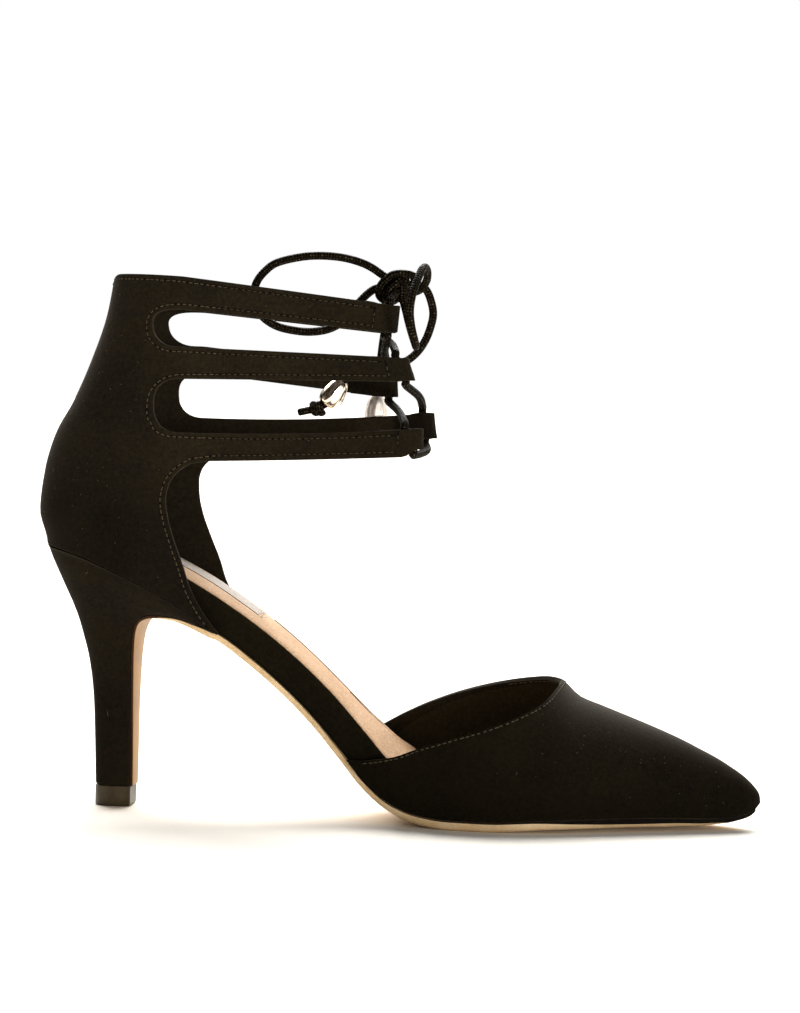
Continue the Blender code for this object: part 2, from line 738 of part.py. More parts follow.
def girth_at(side, x, z):
    """The girth of a place given in side view."""
    widest = QUARTER["widest"](z)
    if x < widest:
        share = min(max((widest - x) / (widest - QUARTER["back"](z)), 0.0), 1.0)
        return side * BACK_SPAN * math.acos(share ** (1 / BACK_POWER)) / (math.pi / 2)
    share = min((x - widest) / (QUARTER["front"](z) - widest), 1.0)
    return side * (BACK_SPAN + FRONT_SPAN * math.asin(share ** (1 / FRONT_POWER)) / (math.pi / 2))


def quarter_normal(girth, z, level=False):
    """Outward normal of the quarter's outside, or its level part."""
    step = 0.2
    ahead = quarter_point(girth + step, z) - quarter_point(girth - step, z)
    if abs(girth) < 2 * step:
        ahead = np.array((0.0, 1.0, 0.0))
    rise = np.array((0.0, 0.0, 1.0))
    if not level:
        rise = quarter_point(girth, z + step) - quarter_point(girth, z - step)
    normal = np.cross(ahead, rise)
    normal /= np.linalg.norm(normal)
    inside = np.array((QUARTER["widest"](z), 0.0, z))
    return normal if normal @ (quarter_point(girth, z) - inside) > 0 else -normal


def strap(side, row):
    return dict(zip(STRAP_COLUMNS, STRAP_ROWS[side][row]))


def fold_x(side, row, z):
    """The x where a strap begins to turn back on itself at a height."""
    sizes = strap(side, row)
    middle = (sizes["low_tip"] + sizes["high_tip"]) / 2
    reach = (sizes["high_tip"] - sizes["low_tip"]) / 2
    share = min(max((middle - z) / reach, -1.0), 1.0)
    return sizes["tip"] - FOLD_RADIUS + sizes["slant"] * share


def strap_edge(side, row, edge, x):
    """Height of a strap's low or high edge at x."""
    sizes = strap(side, row)
    fold = fold_x(side, row, sizes[edge + "_tip"])
    share = min(max((x - STRAP_ROOT) / (fold - STRAP_ROOT), 0.0), 1.0)
    rise = sizes["corner"] * blend(-CORNER_LENGTH, 0.0, x - fold)
    z = sizes[edge + "_root"] + (sizes[edge + "_tip"] - sizes[edge + "_root"]) * share
    z -= sizes[edge + "_sag"] * 4 * share * (1 - share)
    return z + rise if edge == "low" else z


def strap_at(side, z):
    """The strap that a height at the strap tips belongs to."""
    middles = [(strap(side, row)["low_tip"] + strap(side, row)["high_tip"]) / 2 for row in range(3)]
    return min(range(3), key=lambda row: abs(middles[row] - z))


def fold_start(side, row, z):
    """The girth where a strap begins to turn back on itself round the lace tunnel."""
    return girth_at(side, fold_x(side, row, z), z)


def tunnel_centre(side, row, z):
    start = fold_start(side, row, z)
    return quarter_point(start, z) - FOLD_RADIUS * quarter_normal(start, z, level=True)


def quarter_wrap(girth, z, depth):
    """A place in the quarter's wall: the pattern wrapped on the last, and folded at strap tips."""
    side = LATERAL if girth < 0 else MEDIAL
    row = strap_at(side, z)
    start = fold_start(side, row, z)
    past = abs(girth) - abs(start)
    if past <= 0 or quarter_point(girth, z)[0] < STRAP_ROOT:
        return quarter_point(girth, z) - depth * quarter_normal(girth, z)
    turn = math.pi * FOLD_RADIUS
    if past < turn:
        out = quarter_normal(start, z, level=True)
        ahead = np.cross(out, (0.0, 0.0, 1.0))
        ahead = ahead if ahead[0] > 0 else -ahead
        angle = past / FOLD_RADIUS
        radius = FOLD_RADIUS - depth
        return tunnel_centre(side, row, z) + radius * (ahead * math.sin(angle) + out * math.cos(angle))
    back = past - turn
    spread = 2 * FOLD_RADIUS
    spread += (2 * QUARTER_WALL + GAP - spread) * blend(POCKET_LENGTH, POCKET_LENGTH + NECK_LENGTH, back)
    place = start - side * back
    return quarter_point(place, z) - (spread - depth) * quarter_normal(place, z, level=True)


def seat_height(side, turn):
    """Height of the quarter's lower edge at a girth, on the heel's seat."""
    z = 75.0
    for _ in range(30):
        z = feather(quarter_point(side * turn, z)[0]) + GAP
    return z


def strap_outline(side, row, edge, low_x):
    """One edge of a strap from low_x to its folded end, as girth and height."""
    tip = fold_x(side, row, strap(side, row)[edge + "_tip"])
    points = []
    for x in np.linspace(low_x, tip, 14):
        z = strap_edge(side, row, edge, x)
        points.append((girth_at(side, x, z), z))
    girth, z = points[-1]
    for i in range(1, 7):
        points.append((girth + side * math.pi * FOLD_RADIUS * i / 6, z))
    girth = points[-1][0]
    for i in range(1, 6):
        back = FLAP_LENGTH * i / 5
        points.append((girth + side * back, strap_edge(side, row, edge, tip - back)))
    return points


def slot_outline(side, row):
    """The round end of the slot under a strap, from the strap above to the one below."""
    end = SLOT_ENDS[side][row]
    x = end + SLOT_ROUND
    high = strap_edge(side, row, "low", x)
    low = strap_edge(side, row + 1, "high", x)
    points = []
    for angle in np.linspace(0.5, 1.5, 9)[1:-1] * math.pi:
        across, up = math.cos(angle), math.sin(angle)
        px = x + SLOT_ROUND * math.copysign(abs(across) ** SLOT_POWER, across)
        px -= 2 * SLOT_LEAN[row] * up * abs(across)
        pz = (high + low) / 2 + (high - low) / 2 * math.copysign(abs(up) ** SLOT_POWER, up)
        points.append((girth_at(side, px, pz), pz))
    return points


def side_outline(side):
    """The quarter's front outline on one side, from the cuff's top at the back to the seat."""
    points = []
    back = QUARTER["back"](CUFF_TOP - CUFF_DIP)
    for step in np.linspace(0, 1, 13)[:-1]:
        x = back + (STRAP_ROOT - back) * step ** 2
        share = max((x - CUFF_BACK) / (STRAP_ROOT - CUFF_BACK), 0.0) ** 2
        z = CUFF_TOP + (strap(side, 0)["high_root"] - CUFF_TOP) * share
        z -= CUFF_DIP * max(1 - (x - back) / CUFF_DIP_LENGTH, 0.0) ** 2
        points.append((girth_at(side, x, z), z))
    starts = [SLOT_ENDS[side][0] + SLOT_ROUND, SLOT_ENDS[side][1] + SLOT_ROUND, COUNTER_TO_STRAP[side]]
    for row in range(3):
        top_start = STRAP_ROOT if row == 0 else starts[row - 1]
        points += strap_outline(side, row, "high", top_start)
        points += strap_outline(side, row, "low", starts[row])[::-1]
        if row < 2:
            points += slot_outline(side, row)
    for z in np.linspace(COUNTER_ROWS[-1][0], COUNTER_ROWS[0][0] + 1.0, 14):
        x = COUNTER[SIDE_NAME[side]](z)
        if z > feather(x) + GAP + 2.0:
            points.append((girth_at(side, x, z), z))
    return points


def quarter_outline():
    """The closed outline of the quarter's flat pattern, as girth and height."""
    lateral = side_outline(LATERAL)
    medial = side_outline(MEDIAL)
    seat = []
    ends = []
    for side in SIDES:
        x = COUNTER[SIDE_NAME[side]](COUNTER_ROWS[0][0])
        ends.append(abs(girth_at(side, x, feather(x))))
    for turn in np.linspace(-ends[0], ends[1], 34):
        side = LATERAL if turn < 0 else MEDIAL
        seat.append((turn, seat_height(side, abs(turn))))
    return lateral + seat + medial[::-1][:-1]


def inside_outline(outline, point, margin):
    """True for a point inside the outline and at least a margin from its edge."""
    px, pz = point
    ring = np.array(outline)
    nxt = np.roll(ring, -1, axis=0)
    crossing = (ring[:, 1] > pz) != (nxt[:, 1] > pz)
    run = np.where(crossing, nxt[:, 1] - ring[:, 1], 1.0)
    at = ring[:, 0] + (pz - ring[:, 1]) / run * (nxt[:, 0] - ring[:, 0])
    if np.count_nonzero(crossing & (px < at)) % 2 == 0:
        return False
    edge = nxt - ring
    size = np.maximum((edge ** 2).sum(axis=1), 1e-9)
    share = np.clip(((np.array(point) - ring) * edge).sum(axis=1) / size, 0, 1)
    near = ring + share[:, None] * edge - np.array(point)
    return float(np.sqrt((near ** 2).sum(axis=1)).min()) > margin


def build_quarter(material, spacing=7.5):
    """The counter, cuff and six straps in one wall, cut as a pattern and wrapped on the last."""
    outline = quarter_outline()
    flat = [tuple(p) for p in outline]
    for girth in np.arange(-64.0, 64.1, spacing):
        for z in np.arange(62.0, 172.0, spacing):
            if inside_outline(outline, (girth, z), 3.0):
                flat.append((girth, z))
    count = len(outline)
    edges = [(i, (i + 1) % count) for i in range(count)]
    places, _, triangles, *_ = delaunay_2d_cdt([(a, b) for a, b in flat], edges, [], 1, 1e-5)
    outside = [quarter_wrap(p[0], p[1], 0.0) for p in places]
    inside = [quarter_wrap(p[0], p[1], QUARTER_WALL) for p in places]
    layer = len(places)
    faces = [tuple(t) for t in triangles]
    faces += [tuple(i + layer for i in reversed(t)) for t in triangles]
    seen = {}
    for t in triangles:
        for i in range(len(t)):
            pair = (t[i], t[(i + 1) % len(t)])
            seen[tuple(sorted(pair))] = None if tuple(sorted(pair)) in seen else pair
    for pair in seen.values():
        if pair:
            a, b = pair
            faces.append((b, a, a + layer, b + layer))
    return add_mesh("quarter", [tuple(p) for p in outside + inside], faces, material)


# Lace

def tunnel_mouth(side, row, end, beyond):
    """A point on the lace's line, a little beyond the upper or lower mouth of its tunnel."""
    sizes = strap(side, row)
    z = sizes["high_tip"] + beyond if end == "high" else sizes["low_tip"] + sizes["corner"] - beyond
    middle = (sizes["high_tip"] + sizes["low_tip"]) / 2
    place = girth_at(side, fold_x(side, row, z), middle) - side * sizes["back_" + end]
    x, y, _ = quarter_point(place, middle) - FOLD_RADIUS * quarter_normal(place, middle, level=True)
    return (x, y, z)


def build_crossings(material):
    """The cords from the top of each tunnel to the foot of the next one up, on the other side."""
    rise = np.array((0.0, 0.0, CROSS_RUN))
    for level, low_row in (("lower", 2), ("upper", 1)):
        for place, side in (("near", LATERAL), ("far", MEDIAL)):
            start = np.array(tunnel_mouth(side, low_row, "high", MOUTH_GAP))
            end = np.array(tunnel_mouth(-side, low_row - 1, "low", MOUTH_GAP))
            middle = (start + end) / 2 + np.array((CROSS_BOW[level, place], 0.0, 0.0))
            route = [start, start + rise, middle, end - rise, end]
            add_cord("lace_cross_" + level + "_" + place, route, material, SHORT_PITCH)


def build_bar(material):
    """The cord that runs across under the two lowest tunnels."""
    near = np.array(tunnel_mouth(LATERAL, 2, "low", MOUTH_GAP))
    far = np.array(tunnel_mouth(MEDIAL, 2, "low", MOUTH_GAP))
    drop = np.array(BAR_DROP)
    inward = np.array(BAR_TURN)
    middle = (near + far) / 2 + np.array(BAR_BOW)
    route = [near, near + drop, near + drop + inward, middle,
             far + drop + inward * np.array((1, -1, 1)), far + drop, far]
    return add_cord("lace_bar_bottom", route, material, SHORT_PITCH)


def build_rises(material):
    """The two cords from the top tunnels up to the knot."""
    knot = np.array(KNOT_CENTRE)
    for name, side in (("lace_rise_near", LATERAL), ("lace_rise_far", MEDIAL)):
        start = np.array(tunnel_mouth(side, 0, "high", MOUTH_GAP))
        lift = np.array((0.0, 0.0, RISE_RUN))
        end = knot + np.array((0.0, side * (KNOT_RADII[1] + GAP), -KNOT_FOOT))
        route = [start, start + lift, (start + lift + end) / 2 + 0.4 * lift, end]
        add_cord(name, route, material, SHORT_PITCH)


def build_knot(material):
    """The bow's knot: a lump with the swells of two crossing turns of cord."""
    points, faces = [], []
    rows, columns = 9, 16
    for i in range(1, rows):
        tilt = math.pi * i / rows
        for j in range(columns):
            turn = 2 * math.pi * j / columns
            swell = 0.9 + 0.1 * math.cos(3 * turn + 2 * tilt) * math.sin(tilt)
            points.append((KNOT_CENTRE[0] + KNOT_RADII[0] * swell * math.sin(tilt) * math.cos(turn),
                           KNOT_CENTRE[1] + KNOT_RADII[1] * swell * math.sin(tilt) * math.sin(turn),
                           KNOT_CENTRE[2] + KNOT_RADII[2] * swell * math.cos(tilt)))
    top = len(points)
    points.append((KNOT_CENTRE[0], KNOT_CENTRE[1], KNOT_CENTRE[2] + KNOT_RADII[2] * 0.9))
    points.append((KNOT_CENTRE[0], KNOT_CENTRE[1], KNOT_CENTRE[2] - KNOT_RADII[2] * 0.9))
    for j in range(columns):
        k = (j + 1) % columns
        for i in range(rows - 2):
            faces.append((i * columns + j, i * columns + k, (i + 1) * columns + k, (i + 1) * columns + j))
        faces.append((top, j, k))
        faces.append((top + 1, (rows - 2) * columns + k, (rows - 2) * columns + j))
    return add_mesh("lace_knot", points, faces, material)


def turned_piece(name, start, along, profile, material, sides=16):
    """A solid turned about an axis: the profile gives distance along it and radius."""
    along = np.array(along, float) / np.linalg.norm(along)
    first = np.cross(along, (0.0, 1.0, 0.0))
    if np.linalg.norm(first) < 0.1:
        first = np.cross(along, (1.0, 0.0, 0.0))
    first /= np.linalg.norm(first)
    second = np.cross(along, first)
    rings = []
    for distance, radius in profile:
        ring = []
        for j in range(sides):
            angle = 2 * math.pi * j / sides
            offset = radius * (first * math.cos(angle) + second * math.sin(angle))
            ring.append(tuple(np.array(start) + along * distance + offset))
        rings.append(ring)
    return add_loft(name, rings, material)


def build_end(name, route, cord_material, bead_material):
    """A lace end: the cord, its metal bead and the knot that keeps the bead on."""
    add_cord("lace_end_" + name, route, cord_material)
    end = np.array(route[-1])
    along = np.array(BEAD_AXES[name])
    along /= np.linalg.norm(along)
    bead_start = end + along * 2 * GAP
    profile = [(share * BEAD_LENGTH, radius) for share, radius in BEAD_PROFILE]
    turned_piece("lace_bead_" + name, bead_start, along, profile, bead_material)
    knot_centre = bead_start + along * BEAD_LENGTH + np.array(END_KNOT_OFFSETS[name])
    stub = np.array(STUB_AXES[name])
    knot_start = knot_centre - stub / np.linalg.norm(stub) * END_KNOT_RADIUS
    lump = []
    for i in range(9):
        angle = math.pi * (i + 0.6) / 9.2
        lump.append((END_KNOT_RADIUS * (1 - math.cos(angle)), END_KNOT_RADIUS * math.sin(angle)))
    lump.append((lump[-1][0] + 0.2, CORD_DIAMETER / 2))
    lump.append((lump[-1][0] + END_STUB, CORD_DIAMETER / 2))
    turned_piece("lace_end_knot_" + name, knot_start, stub, lump, cord_material, sides=12)


# Assembly

def clear_scene():
    for piece in list(bpy.data.objects):
        bpy.data.objects.remove(piece)


def main():
    clear_scene()
    suede = make_material("black_suede", (0.012, 0.010, 0.008), 0.9)
    tan_sole = make_material("tan_sole", (0.62, 0.40, 0.20), 0.5)
    tan_sock = make_material("tan_sock", (0.72, 0.48, 0.30), 0.6)
    lift_plastic = make_material("lift_plastic", (0.03, 0.027, 0.024), 0.4)
    waxed_cord = make_material("waxed_cord", (0.02, 0.016, 0.013), 0.45)
    bead_metal = make_material("bead_metal", (0.85, 0.68, 0.50), 0.2, 1.0)

    build_sole(tan_sole)
    build_heel(suede)
    build_lift(lift_plastic)
    build_board(suede)
    build_sock(tan_sock)
    build_vamp(suede)
    build_quarter(suede)
    build_bar(waxed_cord)
    build_crossings(waxed_cord)
    build_rises(waxed_cord)
    build_knot(waxed_cord)
    add_cord("lace_loop_back", LOOP_BACK, waxed_cord)
    add_cord("lace_loop_front", LOOP_FRONT, waxed_cord)
    build_end("near", END_NEAR, waxed_cord, bead_metal)
    build_end("far", END_FAR, waxed_cord, bead_metal)


main()
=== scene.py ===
import bisect
import math
import random

import bmesh
import bpy
import numpy as np
from mathutils import Matrix, Vector
from mathutils.geometry import delaunay_2d_cdt


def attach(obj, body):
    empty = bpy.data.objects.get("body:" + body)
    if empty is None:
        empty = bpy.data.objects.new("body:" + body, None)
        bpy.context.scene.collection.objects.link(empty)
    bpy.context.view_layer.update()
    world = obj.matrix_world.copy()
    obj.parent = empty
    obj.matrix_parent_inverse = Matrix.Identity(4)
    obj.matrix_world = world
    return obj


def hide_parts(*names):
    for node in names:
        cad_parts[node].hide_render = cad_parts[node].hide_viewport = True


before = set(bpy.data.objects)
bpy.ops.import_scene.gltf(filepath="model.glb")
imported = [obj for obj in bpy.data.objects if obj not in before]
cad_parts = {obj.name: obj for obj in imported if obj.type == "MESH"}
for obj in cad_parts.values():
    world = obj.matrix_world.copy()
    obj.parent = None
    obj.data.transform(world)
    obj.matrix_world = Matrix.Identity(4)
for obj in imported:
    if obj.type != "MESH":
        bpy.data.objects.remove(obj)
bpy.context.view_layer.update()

# Looks of the right-foot laced pump. Sizes are millimetres in the frame of the solids:
# +X to the toe, +Y to the medial side, +Z up, floor at z = 0.

MM = 0.001
LATERAL, MEDIAL = -1, 1
SIDES = (LATERAL, MEDIAL)
SIDE_NAME = {LATERAL: "lateral", MEDIAL: "medial"}

# Camera of the photograph
AZIMUTH, ELEVATION, ROLL = 5.5, 1.8, 1.7
DISTANCE = 1100.0
TARGET = (-0.7, 0.0, 100.3)
LENS, SENSOR = 120.84, 36.0

# Shape of the last and the pieces: the solids', with a lower seam and a rounder tip at the toe
GAP = 0.3
VAMP_WALL, QUARTER_WALL, SOCK_THICK = 1.6, 1.5, 0.7
BOARD_TOE_GAP, BOARD_BACK, SOCK_TOE_GAP, SOCK_MARGIN = 2.5, 0.8, 2.0, 0.9
TOE_TIP, TOE_SWING, SWING_START = 118.3, 3.0, 20.0
SEAT_END, SEAT_BLEND, LIP_END, LIP_BLEND = -60.0, 8.0, -55.5, 4.0
LIFT_FORWARD = 0.25
LIFT_LEVELS = ((0.0, 1.0), (0.5, 1.05), (3.0, 1.05), (6.6, 1.05))
CORD_RADIUS, END_CORD_RADIUS, CORD_STEP = 1.3, 1.2, 0.8
TUNNEL_RADIUS = 1.6
FOLD_RADIUS = TUNNEL_RADIUS + QUARTER_WALL
FLAP_LENGTH, POCKET_LENGTH, NECK_LENGTH = 12.0, 4.0, 5.0

FEATHER_COLUMNS = ("x", "feather", "board")
FEATHER_ROWS = (
    (-116.0, 84.8, 7.6), (-102.0, 81.8, 7.9), (-86.0, 75.4, 8.4), (-70.0, 67.4, 8.7), (-55.0, 57.8, 9.0),
    (-40.0, 46.4, 9.2), (-26.0, 33.6, 9.3), (-15.0, 21.4, 9.5), (-7.0, 12.6, 9.6), (1.0, 6.8, 8.2),
    (10.0, 3.9, 5.2), (20.0, 3.0, 4.0), (32.0, 3.0, 3.4), (50.0, 3.9, 3.0), (80.0, 4.4, 2.8),
    (92.0, 4.2, 2.7), (100.0, 3.85, 2.65), (107.0, 3.95, 2.6), (113.5, 5.0, 2.5), (116.5, 6.3, 2.4),
    (118.5, 8.6, 2.4),
)
MEDIAL_RISE_ROWS = (
    (-116.0, -0.6), (-28.0, -0.6), (-18.0, 0.2), (-12.0, 1.6), (-6.0, 2.8), (0.0, 3.8), (6.0, 3.7),
    (14.0, 2.2), (24.0, 0.0),
)
OUTLINE_COLUMNS = ("x", "lateral", "medial")
OUTLINE_ROWS = (
    (-60.0, 24.0, 23.2), (-45.0, 22.3, 21.4), (-30.0, 21.3, 20.0), (-15.0, 22.0, 20.0), (-5.0, 24.4, 21.4),
    (5.0, 28.4, 24.2), (15.0, 32.6, 28.2), (25.0, 35.2, 32.2), (35.0, 35.9, 35.0), (45.0, 34.9, 36.0),
    (55.0, 32.0, 35.0), (68.0, 26.4, 30.4), (80.0, 20.8, 24.6), (92.0, 15.2, 18.2), (103.0, 10.1, 12.2),
    (111.0, 6.2, 7.2),
)
RIDGE_COLUMNS = ("x", "rise", "shift")
RIDGE_ROWS = (
    (-22.0, 76.0, 3.0), (0.0, 69.0, 4.0), (20.0, 59.5, 5.0), (40.0, 48.6, 5.0), (53.3, 41.4, 4.5),
    (59.0, 36.2, 4.0), (66.0, 33.4, 3.5), (79.0, 28.55, 2.5), (92.0, 23.65, 1.5), (105.0, 17.7, 0.6),
    (112.0, 12.65, 0.2),
)
TOPLINE_COLUMNS = ("x", "lateral", "medial")
TOPLINE_ROWS = (
    (-22.0, 20.4, 18.4), (-11.0, 19.7, 24.8), (1.0, 21.5, 31.8), (10.0, 25.0, 36.0), (20.0, 28.4, 39.6),
    (32.0, 32.4, 42.8), (42.0, 36.4, 44.8), (49.0, 40.4, 45.7), (53.3, 45.4, 45.4),
)
THROAT_X = 53.3
VAMP_FULLNESS = {LATERAL: 2.15, MEDIAL: 2.3}
VAMP_BULGE = 1.6
QUARTER_COLUMNS = ("z", "back", "widest", "front", "lateral", "medial")
QUARTER_ROWS = (
    (56.0, -115.2, -84.0, 46.0, 24.4, 23.6), (72.0, -115.2, -84.0, 44.0, 26.0, 25.2),
    (85.0, -115.4, -84.0, 38.0, 26.8, 26.2), (96.0, -118.2, -85.0, 30.0, 27.2, 26.6),
    (109.0, -116.9, -83.0, 22.0, 27.0, 26.6), (121.0, -113.6, -79.0, 17.0, 26.2, 25.8),
    (131.0, -108.3, -74.0, 14.5, 25.6, 25.3), (144.0, -102.9, -68.0, 11.0, 25.0, 24.8),
    (160.0, -97.8, -63.0, 6.5, 24.2, 24.0), (173.5, -95.6, -60.0, 5.0, 23.6, 23.5),
)
BACK_POWER, FRONT_POWER = 2 / 2.2, 2 / 2.5
BACK_SPAN, FRONT_SPAN = 42.0, 78.0
STRAP_COLUMNS = ("tip", "slant", "low_root", "low_tip", "high_root", "high_tip", "back_low", "back_high",
                 "corner", "low_sag", "high_sag")
STRAP_ROWS = {
    LATERAL: ((-0.1, -0.4, 161.5, 155.9, 172.0, 164.8, 0.0, 0.6, 0.3, 0.0, 0.0),
              (4.7, 1.2, 139.4, 140.7, 149.6, 148.2, 0.0, 1.8, 0.3, 0.0, 0.0),
              (8.8, 0.0, 113.2, 116.9, 122.4, 125.8, 0.0, 3.6, 2.2, 0.3, 1.0)),
    MEDIAL: ((-3.9, 0.0, 161.7, 156.2, 172.3, 165.2, 1.0, 0.6, 0.3, 0.0, 0.0),
             (-2.9, 0.0, 141.6, 135.3, 150.6, 144.4, 0.0, 0.6, 0.3, 0.0, 0.0),
             (11.0, 0.6, 116.4, 121.7, 126.9, 130.9, 1.4, 1.6, 0.8, 0.8, 1.2)),
}
STRAP_ROOT, CUFF_TOP, CUFF_BACK, CORNER_LENGTH = -70.0, 172.7, -95.0, 4.0
CUFF_DIP, CUFF_DIP_LENGTH = 1.9, 3.6
SLOT_ENDS = {LATERAL: (-79.5, -78.0), MEDIAL: (-81.5, -78.0)}
SLOT_ROUND, SLOT_POWER = 9.0, 0.8
SLOT_LEAN = (1.0, 0.3)
SLOPE_STEP = 0.2
COUNTER_COLUMNS = ("z", "lateral", "medial")
COUNTER_ROWS = (
    (57.4, -54.4, -51.5), (66.0, -60.8, -56.0), (73.0, -64.6, -60.2), (80.0, -67.0, -62.7),
    (88.0, -70.0, -66.2), (95.0, -72.1, -68.9), (101.0, -73.0, -70.3), (106.0, -72.0, -70.6),
    (110.0, -69.2, -69.6), (112.6, -65.4, -67.4),
)
COUNTER_TO_STRAP = {LATERAL: -59.0, MEDIAL: -60.0}
HEEL_COLUMNS = ("back_x", "back_z", "front_x", "front_z", "half", "crown")
HEEL_ROWS = (
    (-97.8, 6.9, -86.0, 6.9, 6.1, 0.0), (-98.3, 20.0, -86.1, 20.0, 6.8, 0.0),
    (-99.1, 35.0, -86.3, 35.0, 8.0, 0.0), (-100.8, 47.5, -86.2, 47.5, 9.8, 0.0),
    (-102.6, 54.5, -85.7, 55.5, 11.8, 0.0), (-104.5, 60.8, -84.3, 60.3, 14.0, 0.2),
    (-106.6, 66.0, -81.5, 62.6, 16.2, 0.5), (-108.8, 70.6, -77.2, 63.5, 18.4, 1.0),
    (-111.0, 75.2, -71.5, 63.1, 20.6, 1.8), (-113.2, 79.8, -63.5, 61.0, 22.8, 2.8),
    (-115.2, 84.6, -55.5, 58.1, 24.4, 3.8),
)
HEEL_TOP = len(HEEL_ROWS) - 1
SOLE_FOREFOOT, SOLE_WAIST, SOLE_FLAP, SOLE_TOE = 3.0, 2.0, 1.0, 1.3
SOLE_BACK, SOLE_THINS, TIP_ROUND, TIP_ROUND_LENGTH = 1.4, 84.0, 0.2, 1.8
SOLE_WIDENS, SOLE_THICKENS, TOE_UPRIGHT = (-22.0, -2.0), (-4.0, 14.0), (104.0, 112.0)
BREAST_SHARE, BREAST_COVER, D_BACK, D_POWER = 0.94, 0.9, 0.52, 2.2
BOARD_SIDE = ((1.8, 0.0), (0.9, 0.12), (0.4, 0.28), (0.1, 0.45), (0.0, 0.62), (0.15, 0.85), (0.5, 1.0))
SOCK_SIDE = ((0.0, 0.0), (0.0, 0.15), (0.1, 0.25), (1.2, 0.62), (3.0, 1.0))

# Lace: routes from the knot to the ends, and how it runs through the straps
KNOT_CENTRE = (-3.0, -3.2, 171.2)
LOOP_BACK = (
    (-8.4, -4.4, 174.9), (-14.0, -5.2, 178.1), (-21.9, -7.0, 180.0), (-31.5, -9.2, 180.0),
    (-40.8, -11.4, 177.8), (-45.0, -12.7, 174.8), (-47.8, -13.8, 170.5), (-48.2, -14.2, 165.1),
    (-45.7, -14.2, 160.5), (-41.7, -13.6, 157.6), (-36.9, -12.6, 156.2), (-30.2, -11.0, 155.7),
    (-23.9, -9.5, 157.0), (-19.1, -8.0, 160.4), (-15.3, -6.4, 165.6), (-12.1, -5.2, 169.0),
    (-9.5, -4.4, 170.5),
)
LOOP_FRONT = (
    (-1.0, -6.6, 167.0), (0.2, -8.6, 163.2), (1.7, -11.2, 158.6), (3.3, -14.1, 154.5),
    (4.4, -17.1, 152.3), (4.8, -20.8, 152.0), (4.5, -24.1, 154.2), (3.7, -25.6, 157.8),
    (3.1, -25.8, 162.4), (3.4, -25.0, 166.8), (4.2, -23.4, 170.4), (5.0, -21.1, 173.5),
    (5.7, -18.0, 176.1), (6.4, -14.0, 177.2), (6.8, -10.2, 176.1), (6.6, -7.6, 173.8),
    (5.5, -5.9, 171.7), (4.0, -4.7, 170.2),
)
END_NEAR = (
    (3.2, -1.8, 171.8), (5.7, -1.7, 170.6), (7.4, -1.5, 167.2), (8.3, -1.1, 162.7),
    (7.5, -1.4, 158.1), (5.9, -2.4, 153.7), (3.4, -4.2, 149.8), (-0.2, -6.2, 147.0),
    (-6.0, -7.2, 146.2), (-11.6, -7.7, 145.8), (-16.1, -7.9, 143.7), (-19.1, -8.1, 140.8),
)
END_FAR = (
    (-4.2, 1.5, 172.8), (-5.0, 6.4, 174.0), (-6.2, 12.4, 172.6), (-7.8, 18.0, 169.2),
    (-9.0, 22.0, 164.4), (-9.7, 24.0, 158.6), (-10.6, 24.8, 151.6), (-11.2, 25.0, 144.6),
    (-11.7, 25.0, 136.8),
)
BEAD_AXES = {"near": (-0.56, 0.0, -0.83), "far": (-0.04, 0.0, -1.0)}
STUB_AXES = {"near": (-0.97, 0.0, -0.22), "far": (-0.04, 0.0, -1.0)}
END_KNOT_OFFSETS = {"near": (-2.8, 0.0, -1.2), "far": (-0.1, 0.0, -2.6)}
BEAD_LENGTH = 9.6
BEAD_PROFILE = ((0.0, 1.7), (0.06, 2.2), (0.35, 3.1), (0.7, 3.6), (0.92, 3.2), (1.0, 2.6))
CROSS_BOW = {(2, LATERAL): 1.0, (2, MEDIAL): 1.6, (1, LATERAL): 0.9, (1, MEDIAL): -1.0}
LACE_ORDER = ((LATERAL, 0, -1), (MEDIAL, 1, -1), (LATERAL, 2, -1),
              (MEDIAL, 2, 1), (LATERAL, 1, 1), (MEDIAL, 0, 1))
KNOT_ENTRY, TUNNEL_RUN, BAR_DROP, BAR_BOW = (3.0, -1.6), 1.4, 1.9, (2.4, 0.0, -2.2)
BACK_FEET = (((-2.6, -0.6, 1.4),), ((-2.6, -0.6, -0.8),))
FRONT_FEET = (((2.4, -1.2, 2.6), (1.9, -2.6, 0.0)), ((3.6, -0.4, -2.2),))
END_FEET = {"near": (2.6, 0.4, 0.6), "far": (-0.8, 2.0, 1.0)}
TURN_START, TURN_SPAN, TURN_TILT = (0.0, -1.0, 0.3), (-0.4, 1.4), (0.0, 0.35, 0.2)
TURN_PITCH, TURN_RADIUS = 1.9, 1.3

# Light
SKY = {"Z": (0.02, 0.16), "Y": (0.0, 0.9), "X": (0.0, 0.4)}
SKY_COLOUR = (1.0, 0.985, 0.96, 1.0)
SUN_FROM = (-0.15, 1.05, 1.0)
SUN_POWER, SUN_ANGLE = 9.0, 58.0
FILL_FROM, FILL_POWER, FILL_SIZE = (0.8, -1.0, 0.09), 7.5, 0.16
LAMP_AIM = (0.0, 0.0, 0.08)
FLOOR_SIZE, FLOOR_COLOUR = 60.0, (0.86, 0.82, 0.75)

